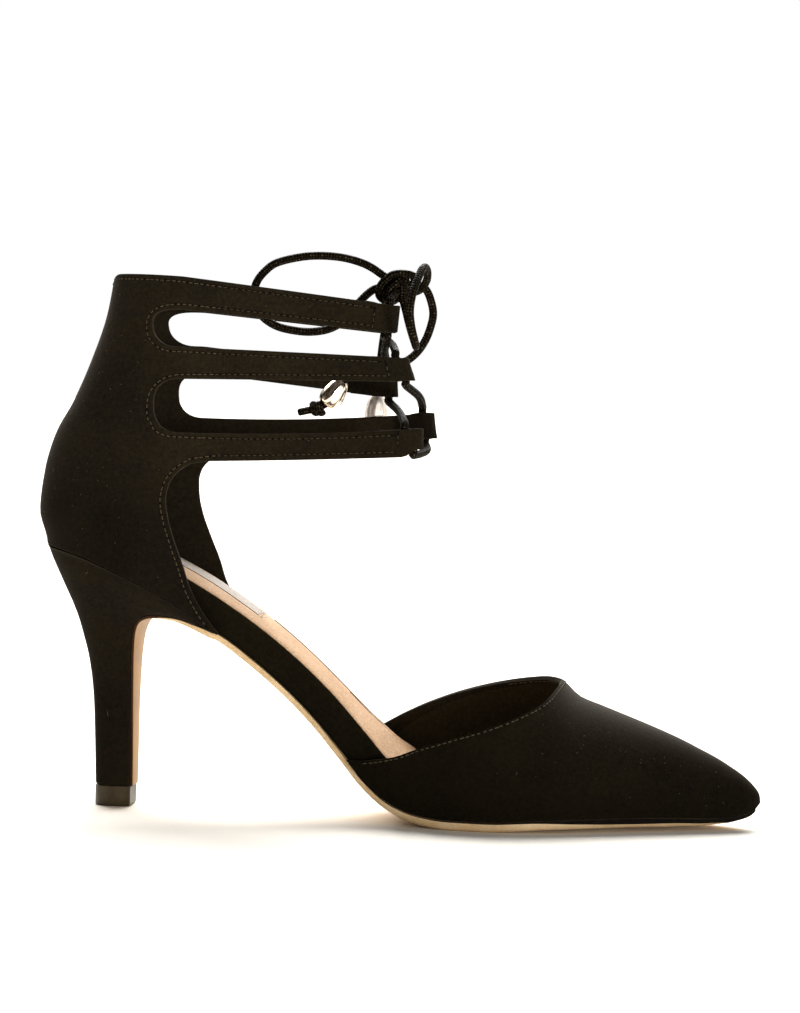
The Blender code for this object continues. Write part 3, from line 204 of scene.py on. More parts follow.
# Finish sizes
STITCH_PITCH, STITCH_LENGTH, STITCH_WIDTH, STITCH_HEIGHT = 1.9, 1.4, 0.4, 0.16
THREAD_SHAPE = ((-0.5, 0.35), (-0.36, 0.9), (0.0, 1.0), (0.36, 0.9), (0.5, 0.35))
THREAD_LIFT = 0.02
STITCH_MARGIN, VAMP_STITCH_MARGIN, SEAM_BACK = 1.7, 1.1, 6.0
CUFF_END, STRAP_FOOT = -58.0, 100.0
CUFF_LINT, VAMP_LINT, LINT_LENGTH, LINT_SECTION = 90, 60, (0.2, 0.6), (0.07, 0.06)
CUFF_THREADS = ((-111.4, 109.0, 2.0), (-98.2, 76.6, 1.0), (-107.4, 127.0, 1.0))
HEEL_THREAD = ((-93.2, -7.9, 30.4), 1.8)
GROOVE_SHADE_WIDTH = 0.62
TUFT_TIPS = ((0.4, -0.6, 3.2), (-1.2, -0.4, 2.2), (1.8, -0.8, 1.4), (2.4, -0.4, -0.6), (1.4, -0.6, -2.4))
KNOT_STRANDS = (
    ((4.9, 1.0, 2.5), (4.6, -0.4, 3.6), (1.6, -1.6, 4.1), (-1.2, -2.2, 3.8), (-3.0, -2.8, 2.8),
     (-5.4, -3.2, 0.2), (-5.9, -3.4, -2.7), (-4.7, -2.8, -4.3), (-3.0, -0.6, -4.6), (-1.8, 1.6, -4.0)),
    ((1.6, -0.6, 2.6), (0.0, -2.6, 1.0), (-2.8, -3.6, -1.8), (-2.4, -3.2, -4.2), (-2.0, -0.8, -4.8),
     (-1.2, 1.4, -4.4)),
)
KNOT_CORE, KNOT_CORE_RADII = (-0.5, 0.2, -0.6), (5.2, 2.6, 4.6)
INK_DEPTH = (
    (-60.0, 0.06), (-45.0, 0.04), (-30.0, 0.06), (-14.0, 0.15), (-5.0, 0.2), (20.0, 0.3), (45.0, 0.5),
    (60.0, 1.2), (70.0, 1.6), (81.0, 1.75), (92.0, 1.5), (107.0, 1.3), (113.5, 1.5), (118.5, 1.5),
)
INK_FULL, INK_LEAST, FLAP_INK_ROWS = 0.8, 0.05, (9.0, 6.0)
WAIST_END, PAINTED_LIGHT_START = -22.0, -76.0
LABEL_SPAN = (-92.0, -51.6)
LABEL_SECTION = ((-1.5, -0.2), (-1.5, 0.15), (16.6, 0.15), (16.6, -0.2))
SOCK_LINES = ((LABEL_SPAN[1] + 3.0, 20.0, 60, 2.6), (-24.0, 12.0, 40, 5.4))
SOCK_LINE_RADIUS, TUFT_RADIUS = 0.2, 0.14
THREAD_SHARP, SOLID_SHARP, UPPER_SHARP, SOLE_SHARP = 70.0, 40.0, 50.0, 35.0

# Colours and grain
RANGE_SOCKETS = ("From Min", "From Max", "To Min", "To Max")
SUEDE_STOPS = ((0.39, (0.58, 0.62, 0.76)), (0.5, (1.0, 1.0, 1.0)), (0.62, (1.5, 1.44, 1.24)))
# braid tone from dark to mid, and a pale top stop that is a painted highlight of wax glints
CORD_TONE_AND_GLINT_STOPS = ((0.4, (0.0035, 0.0025, 0.0014)), (0.62, (0.009, 0.0066, 0.0038)),
              (0.76, (0.058, 0.046, 0.029)))
SOCK_STOPS = ((0.34, (0.34, 0.20, 0.106)), (0.5, (0.47, 0.30, 0.175)), (0.66, (0.57, 0.39, 0.245)))
BRAID_STRANDS, BRAID_PITCH = 4, 1.9
# Each suede's tone, and its painted light and shade: where along an axis it turns paler or darker, from, to,
# shares
SUEDE_ROWS = {
    "vamp_suede": ((0.0054, 0.0041, 0.0019), (("Y", 4.0, 26.0, 1.0, 0.68), ("X", 66.0, 112.0, 1.0, 0.84))),
    "quarter_suede": ((0.0071, 0.0053, 0.0029),
                      (("X", -98.0, -64.0, 0.98, 1.32), ("X", -46.0, 2.0, 1.0, 0.66),
                       ("Z", 92.0, 118.0, 0.92, 1.36), ("Y", -6.0, 24.0, 1.0, 0.68))),
    "heel_suede": ((0.0081, 0.0060, 0.0032), (("Y", -4.0, 14.0, 1.0, 0.68),)),
    "board_suede": ((0.0062, 0.0048, 0.0022), ()),
}
# Colour, roughness, scale and depth of the grain, gloss
PLAIN_ROWS = {
    "black_lining": ((0.028, 0.023, 0.0125), 0.85, 900.0, 0.15, 0.06),
    "cuff_lining": ((0.0112, 0.0080, 0.0038), 0.85, 900.0, 0.15, 0.06),
    # rim faces of the upper: painted paler than the suede for the light on the rim's top
    "cut_edge_painted_light": ((0.018, 0.0140, 0.0078), 0.9, 900.0, 0.1, 0.06),
    "inked_edge": ((0.0035, 0.0026, 0.0016), 0.7, 500.0, 0.08, 0.03),
    "brown_edge": ((0.030, 0.012, 0.005), 0.6, 500.0, 0.08, 0.08),
    "label": ((0.34, 0.30, 0.26), 0.75, 900.0, 0.05, 0.02),
    "lift": ((0.040, 0.029, 0.0135), 0.4, 300.0, 0.06, 0.15),
    "thread": ((0.052, 0.039, 0.021), 0.8, 1500.0, 0.05, 0.1),
    "dark_thread": ((0.032, 0.024, 0.013), 0.8, 1500.0, 0.05, 0.05),
    "pale_thread": ((0.10, 0.079, 0.052), 0.8, 1500.0, 0.05, 0.05),
    # the sock's lines, and the painted shadow along the label's near edge
    "sock_thread_and_label_shadow": ((0.075, 0.038, 0.022), 0.8, 1500.0, 0.05, 0.1),
    "lint": ((0.075, 0.064, 0.050), 0.9, 1500.0, 0.05, 0.05),
    "tuft": ((0.62, 0.56, 0.48), 0.9, 1500.0, 0.05, 0.05),
    # near-black ribbons along the stitch rows: painted shade in their grooves
    "groove_shade": ((0.0026, 0.0020, 0.0013), 0.95, 900.0, 0.05, 0.03),
}
# one tan leather in two copies: forward of x = -76 mm the sole's edge is painted paler than the heel flap, as
# painted light
SOLE_ROWS = {"tan_flap": ((0.215, 0.105, 0.021), (0.312, 0.165, 0.036)),
             "tan_edge_painted_light": ((0.58, 0.39, 0.19), (0.72, 0.53, 0.31))}
# one bead metal in two copies: the far bead painted paler and rougher, the near one warmer, for how light
# falls on each
BEAD_ROWS = {"near": ("near_bead_gold_painted_light", (0.88, 0.73, 0.58), 0.16), "far": ("far_bead_gold_painted_light", (0.93, 0.84, 0.76), 0.45)}


# Curves

def smooth_curve(xs, ys):
    xs, ys = [float(x) for x in xs], [float(y) for y in ys]
    step = [b - a for a, b in zip(xs, xs[1:])]
    slope = [(b - a) / s for a, b, s in zip(ys, ys[1:], step)]
    tangent = [slope[0]] + [0.0] * (len(xs) - 2) + [slope[-1]]
    for i in range(1, len(xs) - 1):
        if slope[i - 1] * slope[i] > 0:
            before, after = 2 * step[i] + step[i - 1], step[i] + 2 * step[i - 1]
            tangent[i] = (before + after) / (before / slope[i - 1] + after / slope[i])

    def value(x):
        x = min(max(x, xs[0]), xs[-1])
        i = max(min(bisect.bisect_right(xs, x) - 1, len(step) - 1), 0)
        t = (x - xs[i]) / step[i]
        rise = ys[i] * (1 + 2 * t) * (1 - t) ** 2 + ys[i + 1] * t * t * (3 - 2 * t)
        return rise + (tangent[i] * t * (1 - t) ** 2 - tangent[i + 1] * t * t * (1 - t)) * step[i]

    return value


def table_curves(columns, rows):
    keys = [row[0] for row in rows]
    return {name: smooth_curve(keys, [row[i] for row in rows]) for i, name in enumerate(columns)}


def rounded_tip_curves(columns, rows, tip):
    reach = [math.sqrt(tip - row[0]) for row in rows][::-1]
    curves = {}
    for i, name in enumerate(columns[1:], start=1):
        curves[name] = smooth_curve([0.0] + reach, [0.0] + [row[i] for row in rows][::-1])

    def at(name):
        return lambda x: curves[name](math.sqrt(max(tip - x, 0.0)))

    return {name: at(name) for name in curves}


def blend(start, end, x):
    t = min(max((x - start) / (end - start), 0.0), 1.0)
    return t * t * (3 - 2 * t)


def vec(*values):
    return np.array(values, float)


def unit(vector):
    return np.array(vector, float) / np.linalg.norm(vector)


def facing(normal, outward):
    normal = unit(normal)
    return normal if normal @ outward > 0 else -normal


def tangents(line):
    along = np.gradient(line, axis=0)
    return along / np.linalg.norm(along, axis=1)[:, None]


def run_of(line):
    """The length of a line of points up to each point."""
    return np.concatenate([[0], np.cumsum(np.linalg.norm(np.diff(line, axis=0), axis=1))])


def at_run(values, run, s):
    return np.array([np.interp(s, run, values[:, axis]) for axis in range(3)])


FEATHER = table_curves(FEATHER_COLUMNS, FEATHER_ROWS)
OUTLINE = rounded_tip_curves(OUTLINE_COLUMNS, OUTLINE_ROWS, TOE_TIP)
MEDIAL_RISE = smooth_curve(*zip(*MEDIAL_RISE_ROWS))
RIDGE = rounded_tip_curves(RIDGE_COLUMNS, RIDGE_ROWS, TOE_TIP)
TOPLINE = table_curves(TOPLINE_COLUMNS, TOPLINE_ROWS)
QUARTER = table_curves(QUARTER_COLUMNS, QUARTER_ROWS)
COUNTER = table_curves(COUNTER_COLUMNS, COUNTER_ROWS)
HEEL = {name: smooth_curve(range(len(HEEL_ROWS)), [row[i] for row in HEEL_ROWS])
        for i, name in enumerate(HEEL_COLUMNS)}
INK = smooth_curve(*zip(*INK_DEPTH))
BEAD_SHAPE = smooth_curve(*zip(*BEAD_PROFILE))


def feather(x):
    return FEATHER["feather"](x)


def feather_slope(x):
    return feather(x + 0.5) - feather(x - 0.5)


def swing(x):
    return TOE_SWING * blend(SWING_START, TOE_TIP, x)


def outer_half(side, x):
    seat = quarter_half(side, x, feather(x))
    share = blend(SEAT_END - SEAT_BLEND, SEAT_END + SEAT_BLEND, x)
    return seat * (1 - share) + OUTLINE[SIDE_NAME[side]](x) * share


def bed_half(side, x):
    lean = min(abs(outer_half(side, x + 0.4) - outer_half(side, x - 0.4)) / 0.8, 2.0)
    return outer_half(side, x) - (VAMP_WALL + GAP) * math.sqrt(1 + lean * lean)


# Materials

class Nodes:
    """Adds and links the nodes of a tree."""

    def __init__(self, tree):
        self.tree = tree

    def node(self, kind, links=(), **values):
        made = self.tree.nodes.new("ShaderNode" + kind)
        for key, value in values.items():
            if key in made.inputs:
                made.inputs[key].default_value = value
            else:
                setattr(made, key, value)
        for socket, source in dict(links).items():
            self.tree.links.new(source, made.inputs[socket])
        return made

    def split(self, source, axis):
        return self.node("SeparateXYZ", {"Vector": source}).outputs[axis]

    def sums(self, operation, a, b):
        made = self.node("Math", operation=operation)
        for socket, value in zip(made.inputs, (a, b)):
            if isinstance(value, (int, float)):
                socket.default_value = value
            else:
                self.tree.links.new(value, socket)
        return made.outputs[0]

    def weighted(self, *terms):
        """The sum of sources, each with its weight."""
        total = None
        for source, weight in terms:
            part = source if weight == 1 else self.sums("MULTIPLY", source, weight)
            total = part if total is None else self.sums("ADD", total, part)
        return total

    def ranged(self, source, start, end, low, high, **values):
        made = self.node("MapRange", {"Value": source}, **values)
        for socket, value in zip(RANGE_SOCKETS, (start, end, low, high)):
            made.inputs[socket].default_value = value
        return made.outputs[0]


class Paint(Nodes):
    """A Principled material."""

    def __init__(self, name, colour, roughness, **values):
        self.material = bpy.data.materials.new(name)
        self.material.use_nodes = True
        super().__init__(self.material.node_tree)
        self.shader = self.tree.nodes["Principled BSDF"]
        self.shader.inputs["Base Color"].default_value = (*colour, 1.0)
        self.shader.inputs["Roughness"].default_value = roughness
        for key, value in values.items():
            self.shader.inputs[key.replace("_", " ")].default_value = value

    def feed(self, socket, source):
        self.tree.links.new(source, self.shader.inputs[socket])

    def place(self):
        return self.node("TexCoord").outputs["Object"]

    def noise(self, scale, detail, roughness=0.55):
        return self.node("TexNoise", {"Vector": self.place()}, Scale=scale, Detail=detail,
                         Roughness=roughness).outputs["Fac"]

    def ramp(self, source, stops):
        made = self.node("ValToRGB", {"Fac": source})
        while len(made.color_ramp.elements) < len(stops):
            made.color_ramp.elements.new(0.5)
        for element, (place, colour) in zip(made.color_ramp.elements, stops):
            element.position = place
            element.color = (*colour, 1.0)
        return made.outputs["Color"]

    def bump(self, height, strength, distance):
        made = self.node("Bump", {"Height": height}, Strength=strength, Distance=distance * MM)
        self.feed("Normal", made.outputs[0])


def suede_paint(name, tone, painted_shade_by_place=()):
    """Black suede: clouds, mottling and nap, with painted light: paler where the surface faces up, and
    painted paler or darker along given axes.
    """
    paint = Paint(name, tone, 0.95, Sheen_Weight=0.03, Sheen_Roughness=0.45, Specular_IOR_Level=0.04,
                  Sheen_Tint=(1.0, 0.82, 0.6, 1.0))
    cloud = paint.noise(42.0, 4.0, 0.6)
    grain = paint.noise(850.0, 3.0, 0.6)
    nap = paint.noise(2400.0, 2.0)
    mixed = paint.weighted((cloud, 0.34), (grain, 0.42), (nap, 0.24))
    stops = [(place, tuple(c * s for c, s in zip(tone, shares))) for place, shares in SUEDE_STOPS]
    mottled = paint.ramp(mixed, stops)
    # painted light: the suede is up to 1.9 times paler where its surface faces up
    upward = paint.split(paint.node("NewGeometry").outputs["Normal"], "Z")
    painted_light_factor = paint.sums("ADD", paint.sums("MULTIPLY", paint.sums("MAXIMUM", upward, 0.0), 0.9), 1.0)
    # painted light and shade: paler or darker along an axis, for how the light falls there
    for axis, start, end, low, high in painted_shade_by_place:
        where = paint.split(paint.place(), axis)
        share = paint.ranged(where, start * MM, end * MM, low, high, interpolation_type="SMOOTHSTEP")
        painted_light_factor = paint.sums("MULTIPLY", painted_light_factor, share)
    scaled = paint.node("VectorMath", {0: mottled, "Scale": painted_light_factor}, operation="SCALE")
    paint.feed("Base Color", scaled.outputs[0])
    paint.bump(paint.weighted((nap, 0.7), (grain, 1)), 0.5, 0.22)
    return paint.material


def cord_paint(name):
    """Waxed black braid: two crossing spirals of strands, with painted highlights of wax glints on the
    crests.
    """
    paint = Paint(name, (0.007, 0.0052, 0.0034), 0.5, Specular_IOR_Level=0.03,
                  Specular_Tint=(1.0, 0.82, 0.58, 1.0))
    place = paint.node("SeparateXYZ", {"Vector": paint.node("UVMap", uv_map="cord").outputs[0]})
    turns = paint.sums("MULTIPLY", place.outputs[1], BRAID_STRANDS * 2 * math.pi)
    run = paint.sums("MULTIPLY", place.outputs[0], 2 * math.pi / BRAID_PITCH)
    left = paint.sums("SINE", paint.sums("ADD", run, turns), 0.0)
    right = paint.sums("SINE", paint.sums("SUBTRACT", run, turns), 0.0)
    braid = paint.sums("MULTIPLY", left, right)
    fluff = paint.noise(1100.0, 2.0)
    # the pale top stop paints wax glints on the braid's crests: painted highlight
    paint.feed("Base Color", paint.ramp(paint.weighted((braid, 0.2), (fluff, 1)), CORD_TONE_AND_GLINT_STOPS))
    paint.feed("Roughness", paint.ramp(fluff, ((0.35, (0.48,) * 3), (0.65, (0.75,) * 3))))
    paint.bump(paint.weighted((braid, 1), (fluff, 1.4)), 0.75, 0.22)
    return paint.material


def sole_paint(name, dark, light):
    paint = Paint(name, light, 0.5, Specular_IOR_Level=0.3)
    grain = paint.noise(60.0, 5.0, 0.6)
    fibre = paint.noise(900.0, 3.0, 0.6)
    mixed = paint.weighted((grain, 0.7), (fibre, 0.3))
    paint.feed("Base Color", paint.ramp(mixed, ((0.38, dark), (0.6, light))))
    paint.bump(fibre, 0.15, 0.1)
    return paint.material


def sock_paint(name):
    """Tan sock leather with a fine speckled grain."""
    paint = Paint(name, SOCK_STOPS[1][1], 0.75, Specular_IOR_Level=0.03)
    cloud = paint.noise(60.0, 2.0)
    grain = paint.noise(1400.0, 2.0, 0.5)
    paint.feed("Base Color", paint.ramp(paint.weighted((cloud, 0.25), (grain, 0.75)), SOCK_STOPS))
    paint.bump(grain, 0.35, 0.12)
    return paint.material


def plain_paint(name, colour, roughness, scale, depth, gloss):
    paint = Paint(name, colour, roughness, Specular_IOR_Level=gloss)
    light = tuple(min(c * 1.35 + 0.002, 1.0) for c in colour)
    paint.feed("Base Color", paint.ramp(paint.noise(scale, 3.0), ((0.4, colour), (0.68, light))))
    paint.bump(paint.noise(scale * 3, 2.0), 0.2, depth)
    return paint.material


def bead_paint(name, colour, rough):
    paint = Paint(name, colour, rough, Metallic=1.0)
    stops = ((0.3, (rough * 0.8,) * 3), (0.7, (rough * 1.5,) * 3))
    paint.feed("Roughness", paint.ramp(paint.noise(350.0, 2.0), stops))
    return paint.material


SUEDE = {name: suede_paint(name, *row) for name, row in SUEDE_ROWS.items()}
PLAIN = {name: plain_paint(name, *row) for name, row in PLAIN_ROWS.items()}
SOLE = {name: sole_paint(name, *row) for name, row in SOLE_ROWS.items()}
BEAD = {name: bead_paint(*row) for name, row in BEAD_ROWS.items()}
SOCK = sock_paint("sock")
CORD = cord_paint("waxed_cord_braid")


# Mesh making

def put(name, data):
    made = bpy.data.objects.new(name, data)
    bpy.context.collection.objects.link(made)
    return made


def add_piece(name, shape, materials, nodes=(), kinds=None, sharp=THREAD_SHARP):
    """One piece of the shoe from points, faces and, for cord, braid coordinates."""
    points, faces, *uv = shape
    mesh = bpy.data.meshes.new(name)
    mesh.from_pydata([(x * MM, y * MM, z * MM) for x, y, z in points], [], faces)
    for material in materials:
        mesh.materials.append(material)
    if kinds:
        mesh.polygons.foreach_set("material_index", kinds)
    if uv:
        layer = mesh.uv_layers.new(name="cord")
        for loop in mesh.loops:
            layer.data[loop.index].uv = uv[0][loop.vertex_index]
    body = bmesh.new()
    body.from_mesh(mesh)
    bmesh.ops.recalc_face_normals(body, faces=body.faces)
    body.to_mesh(mesh)
    body.free()
    mesh.shade_smooth()
    mesh.set_sharp_from_angle(angle=math.radians(sharp))
    piece = put(name, mesh)
    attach(piece, "root")
    if nodes:
        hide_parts(*nodes)
    return piece


def soften(piece, width, segments=2):
    bevel = piece.modifiers.new("soft_edge", "BEVEL")
    bevel.width = width * MM
    bevel.segments = segments
    bevel.limit_method = "ANGLE"
    bevel.angle_limit = math.radians(50)
    bevel.use_clamp_overlap = True
    bevel.harden_normals = False


def ring_faces(rings, count, base=0):
    """Faces between rings of points, and the two end faces."""
    faces = []
    for start in range(base, base + (rings - 1) * count, count):
        for j in range(count):
            k = (j + 1) % count
            faces.append((start + j, start + k, start + count + k, start + count + j))
    last = base + (rings - 1) * count
    return faces + [tuple(range(base, base + count)), tuple(range(last, last + count))]


def loft(rings):
    return [point for ring in rings for point in ring], ring_faces(len(rings), len(rings[0]))


def route_points(route, spacing=CORD_STEP):
    stops = [np.array(p, float) for p in route]
    stops = [2 * stops[0] - stops[1]] + stops + [2 * stops[-1] - stops[-2]]
    fine = []
    for i in range(1, len(stops) - 2):
        a, b, c, d = stops[i - 1:i + 3]
        for t in np.linspace(0, 1, 24, endpoint=False):
            fine.append(0.5 * (2 * b + (c - a) * t + (2 * a - 5 * b + 4 * c - d) * t * t
                               + (3 * b - a - 3 * c + d) * t ** 3))
    fine = np.array(fine + [stops[-2]])
    run = run_of(fine)
    wanted = np.linspace(0, run[-1], max(int(run[-1] / spacing), 2) + 1)
    return np.array([at_run(fine, run, s) for s in wanted])


def tube_mesh(line, radius=CORD_RADIUS, sides=14):
    """Points, faces and braid coordinates of a round cord along a line of points."""
    along, run = tangents(line), run_of(line)
    first = np.cross(along[0], (0.31, 0.87, 0.38))
    cap = [(-0.35, 0.55), (-0.12, 0.88)]
    stations = [(0, s, r) for s, r in cap] + [(i, 0.0, 1.0) for i in range(len(line))]
    stations += [(len(line) - 1, -s, r) for s, r in reversed(cap)]
    points, uv = [], []
    for i, shift, share in stations:
        first = unit(first - along[i] * (first @ along[i]))
        second = np.cross(along[i], first)
        for j in range(sides):
            angle = 2 * math.pi * j / sides
            offset = radius * share * (first * math.cos(angle) + second * math.sin(angle))
            points.append(tuple(line[i] + along[i] * shift * radius + offset))
            uv.append((run[i] + shift, j / sides))
    return points, ring_faces(len(stations), sides), uv


def join_meshes(parts):
    points, faces, uv = [], [], []
    for p, f, u in parts:
        faces += [tuple(i + len(points) for i in face) for face in f]
        points += p
        uv += u
    return points, faces, uv


def add_cords(name, meshes, nodes):
    return add_piece(name, join_meshes(meshes), [CORD], nodes)


# Flat pieces

def bed_place(x, y, rise):
    slope = feather_slope(x)
    length = math.sqrt(1 + slope * slope)
    return (x - slope / length * rise, swing(x) + y, feather(x) + rise / length)


def bed_ring(x, halves, lows, thicks, profile):
    across = []
    for side in SIDES:
        across.append([])
        for inset, share in profile:
            y = side * max(halves[side] - inset, 0.25)
            across[-1].append(bed_place(x, y, lows[side] + thicks[side] * share))
    return across[0] + across[1][::-1]


def bed_stations(start, end, count):
    return [start + (end - start) * (1 - math.cos(a)) / 2 for a in np.linspace(0, math.pi, count)]


def bed_end():
    x = TOE_TIP
    while min(bed_half(side, x) for side in SIDES) < 0.6:
        x -= 0.1
    return x


def board_thick(x):
    thick = FEATHER["board"](x)
    return {LATERAL: thick, MEDIAL: thick + MEDIAL_RISE(x)}


def sock_top(x, y):
    """Height of the sock's top over the feather line, square to it."""
    rises = board_thick(x)
    halves = {side: bed_half(side, x) - SOCK_MARGIN for side in SIDES}
    share = (y + halves[LATERAL]) / (halves[LATERAL] + halves[MEDIAL])
    return 2 * GAP + SOCK_THICK + rises[LATERAL] + (rises[MEDIAL] - rises[LATERAL]) * share


def build_footbed():
    back = QUARTER["back"](feather(-114.0)) + QUARTER_WALL + GAP + SOCK_MARGIN
    front = bed_end() - BOARD_TOE_GAP - SOCK_TOE_GAP
    rings = []
    for x in bed_stations(back - BOARD_BACK, front + SOCK_TOE_GAP, 120):
        halves = {side: bed_half(side, x) for side in SIDES}
        rings.append(bed_ring(x, halves, {side: GAP for side in SIDES}, board_thick(x), BOARD_SIDE))
    board = add_piece("board_cover", loft(rings), [SUEDE["board_suede"]], ["insole_board"],
                      sharp=SOLID_SHARP)
    soften(board, 0.3)
    rings = []
    for x in bed_stations(back, front, 150):
        halves = {side: bed_half(side, x) - SOCK_MARGIN for side in SIDES}
        lows = {side: 2 * GAP + thick for side, thick in board_thick(x).items()}
        rings.append(bed_ring(x, halves, lows, {side: SOCK_THICK for side in SIDES}, SOCK_SIDE))
    add_piece("sock", loft(rings), [SOCK], ["sock_lining"], sharp=SOLID_SHARP)
    rings = []
    for x in np.linspace(*LABEL_SPAN, 30):
        rings.append([bed_place(x, y, sock_top(x, y) + h) for y, h in LABEL_SECTION])
    label = add_piece("sock_label", loft(rings), [PLAIN["label"]], sharp=SOLID_SHARP)
    soften(label, 0.1)
    build_sock_lines_and_label_shadow()


def build_sock_lines_and_label_shadow():
    """Dark lines on the sock: a painted shadow along the label's near edge, and lines at its medial edge and
    at the seam by the vamp.
    """
    near = LABEL_SECTION[0][0] - 0.15
    # painted shadow: a dark line along the label's near edge, where the label stands off the sock
    lines = [[bed_place(x, near, sock_top(x, near) + 0.02) for x in np.linspace(*LABEL_SPAN, 40)]]
    for start, end, count, inset in SOCK_LINES:
        line = []
        for x in np.linspace(start, end, count):
            y = bed_half(MEDIAL, x) - SOCK_MARGIN - inset
            line.append(bed_place(x, y, sock_top(x, y)))
        lines.append(line)
    shape = join_meshes([tube_mesh(np.array(line), SOCK_LINE_RADIUS, 6) for line in lines])
    add_piece("sock_lines_and_label_shadow", shape[:2], [PLAIN["sock_thread_and_label_shadow"]])
    base = vec(*bed_place(LABEL_SPAN[1] + 1.0, near, sock_top(LABEL_SPAN[1], near)))
    hairs = []
    for tip in TUFT_TIPS:
        hair = [base + vec(*tip) * s * s + (0.0, 0.0, 0.6 * s) for s in np.linspace(0, 1, 6)]
        hairs.append(tube_mesh(np.array(hair), TUFT_RADIUS, 6))
    add_piece("label_tuft", join_meshes(hairs)[:2], [PLAIN["tuft"]])


def d_share(t):
    if t < D_BACK:
        return (1 - (1 - t / D_BACK) ** D_POWER) ** (1 / D_POWER)
    return 1 - (1 - BREAST_SHARE) * blend(D_BACK, 1.0, t)


def heel_ring(row, count=18):
    back = vec(HEEL["back_x"](row), HEEL["back_z"](row))
    front = vec(HEEL["front_x"](row), HEEL["front_z"](row))
    shares = [(1 - math.cos(math.pi / 2 * i / count)) for i in range(1, count + 1)]
    ring = []
    for side, order in ((LATERAL, shares[::-1]), (MEDIAL, [0.0] + shares)):
        for t in order:
            x, z = back + (front - back) * t
            z += HEEL["crown"](row) * 4 * t * (1 - t)
            half = HEEL["half"](row) * d_share(t)
            if row == HEEL_TOP:
                z = feather(x)
                half = (outer_half(side, x) - 0.2) if t > 0 else 0.0
            ring.append((x, side * half, z))
    return ring


def build_heel():
    rings = [heel_ring(row) for row in np.linspace(0, HEEL_TOP, 61)]
    heel = add_piece("heel_cover", loft(rings), [SUEDE["heel_suede"]], ["heel"],
                     sharp=UPPER_SHARP)
    soften(heel, 0.35)
    base = heel_ring(0)
    centre = (HEEL_ROWS[0][0] + HEEL_ROWS[0][2]) / 2
    rings = []
    for z, grow in LIFT_LEVELS:
        rings.append([(centre + LIFT_FORWARD + (x - centre) * grow, y * grow, z) for x, y, _ in base])
    lift = add_piece("top_lift", loft(rings), [PLAIN["lift"]], ["heel_top_lift"],
                     sharp=SOLID_SHARP)
    soften(lift, 0.3)


def sole_path():
    """Rows of x, z, sideways shift, half widths, thickness and ink depth, from the toe to the heel's foot."""
    path = []
    toe = TOE_TIP - SOLE_BACK
    for x in [toe - (toe - LIP_END) * (1 - math.cos(a)) for a in np.linspace(0, math.pi / 2, 120)]:
        upper = blend(*SOLE_WIDENS, x)
        halves = {}
        for side in SIDES:
            under_upper = max(outer_half(side, x + SOLE_BACK) - 0.4, 0.4)
            halves[side] = under_upper * upper + (bed_half(side, x) - 0.6) * (1 - upper)
        thick = SOLE_WAIST + (SOLE_FOREFOOT - SOLE_WAIST) * blend(*SOLE_THICKENS, x)
        thick += (SOLE_TOE - SOLE_FOREFOOT) * blend(SOLE_THINS, TOE_TIP, x)
        thick *= 1 - TIP_ROUND * max(1 - (toe - x) / TIP_ROUND_LENGTH, 0.0) ** 2
        path.append((x, feather(x), swing(x), halves, thick, INK(x)))
    for row in np.linspace(HEEL_TOP - 0.25, 0, 70):
        half = HEEL["half"](row) * BREAST_SHARE - BREAST_COVER
        thick = SOLE_FLAP + (SOLE_WAIST - SOLE_FLAP) * blend(HEEL_TOP - 2, HEEL_TOP, row)
        ink = thick * blend(*FLAP_INK_ROWS, row) if row > FLAP_INK_ROWS[1] else thick
        halves = {side: half for side in SIDES}
        path.append((HEEL["front_x"](row), HEEL["front_z"](row), 0.0, halves, thick, max(ink, INK_LEAST)))
    return path


def build_sole():
    path = sole_path()
    along = tangents(np.array([row[:2] for row in path]))
    rings = []
    for (x, z, shift, halves, thick, ink), (tx, tz) in zip(path, along):
        clear = 0.0
        if x < LIP_END + LIP_BLEND:
            clear = GAP * blend(LIP_END + LIP_BLEND, LIP_END - LIP_BLEND, x)
        share = min(max(ink / thick, 0.02), INK_FULL)
        profile = ((0.0, 0.0), (0.05, share), (0.25, max(share + 0.05, 0.5)),
                   (1.0, max(0.82, share + 0.1)), (2.4, 1.0))
        tz *= 1 - blend(*TOE_UPRIGHT, x)
        across = []
        for side in SIDES:
            edge = []
            for inset, level in profile:
                depth = clear + thick * level
                half = max(halves[side] - inset * thick / SOLE_FOREFOOT, 0.2)
                edge.append((x - tz * depth, shift + side * half, z + tx * depth))
            across.append(edge)
        rings.append(across[0] + across[1][::-1])
    count = len(rings[0])
    kinds = []
    for x, _, _, _, thick, ink in path[:-1]:
        inked_rows = 3 if x > 0 and ink > INK_FULL * thick else 1
        for j in range(count):
            if j < count - 1 and min(j, count - 2 - j) < inked_rows:
                kinds.append(2 if x < WAIST_END else 1)
            else:
                # forward of x = -76 mm the tan is the paler copy: painted light
                kinds.append(3 if x > PAINTED_LIGHT_START else 0)
    materials = [SOLE["tan_flap"], PLAIN["inked_edge"], PLAIN["brown_edge"], SOLE["tan_edge_painted_light"]]
    add_piece("sole", loft(rings), materials, ["outsole"], kinds=kinds + [1, 0], sharp=SOLE_SHARP)


# Vamp

def vamp_point(x, across):
    side = LATERAL if across < 0 else MEDIAL
    angle = (1 - abs(across)) * math.pi / 2
    power = 2 / VAMP_FULLNESS[side]
    ridge = swing(x) + RIDGE["shift"](x)
    edge = swing(x) + side * OUTLINE[SIDE_NAME[side]](x)
    rise = RIDGE["rise"](x)
    swell = VAMP_BULGE * math.sin(2 * angle) * math.cos(angle) * min(rise / 12.0, 1.0)
    y = ridge + (edge - ridge) * math.cos(angle) ** power + side * swell
    return vec(x, y, feather(x) + GAP + rise * math.sin(angle) ** power)


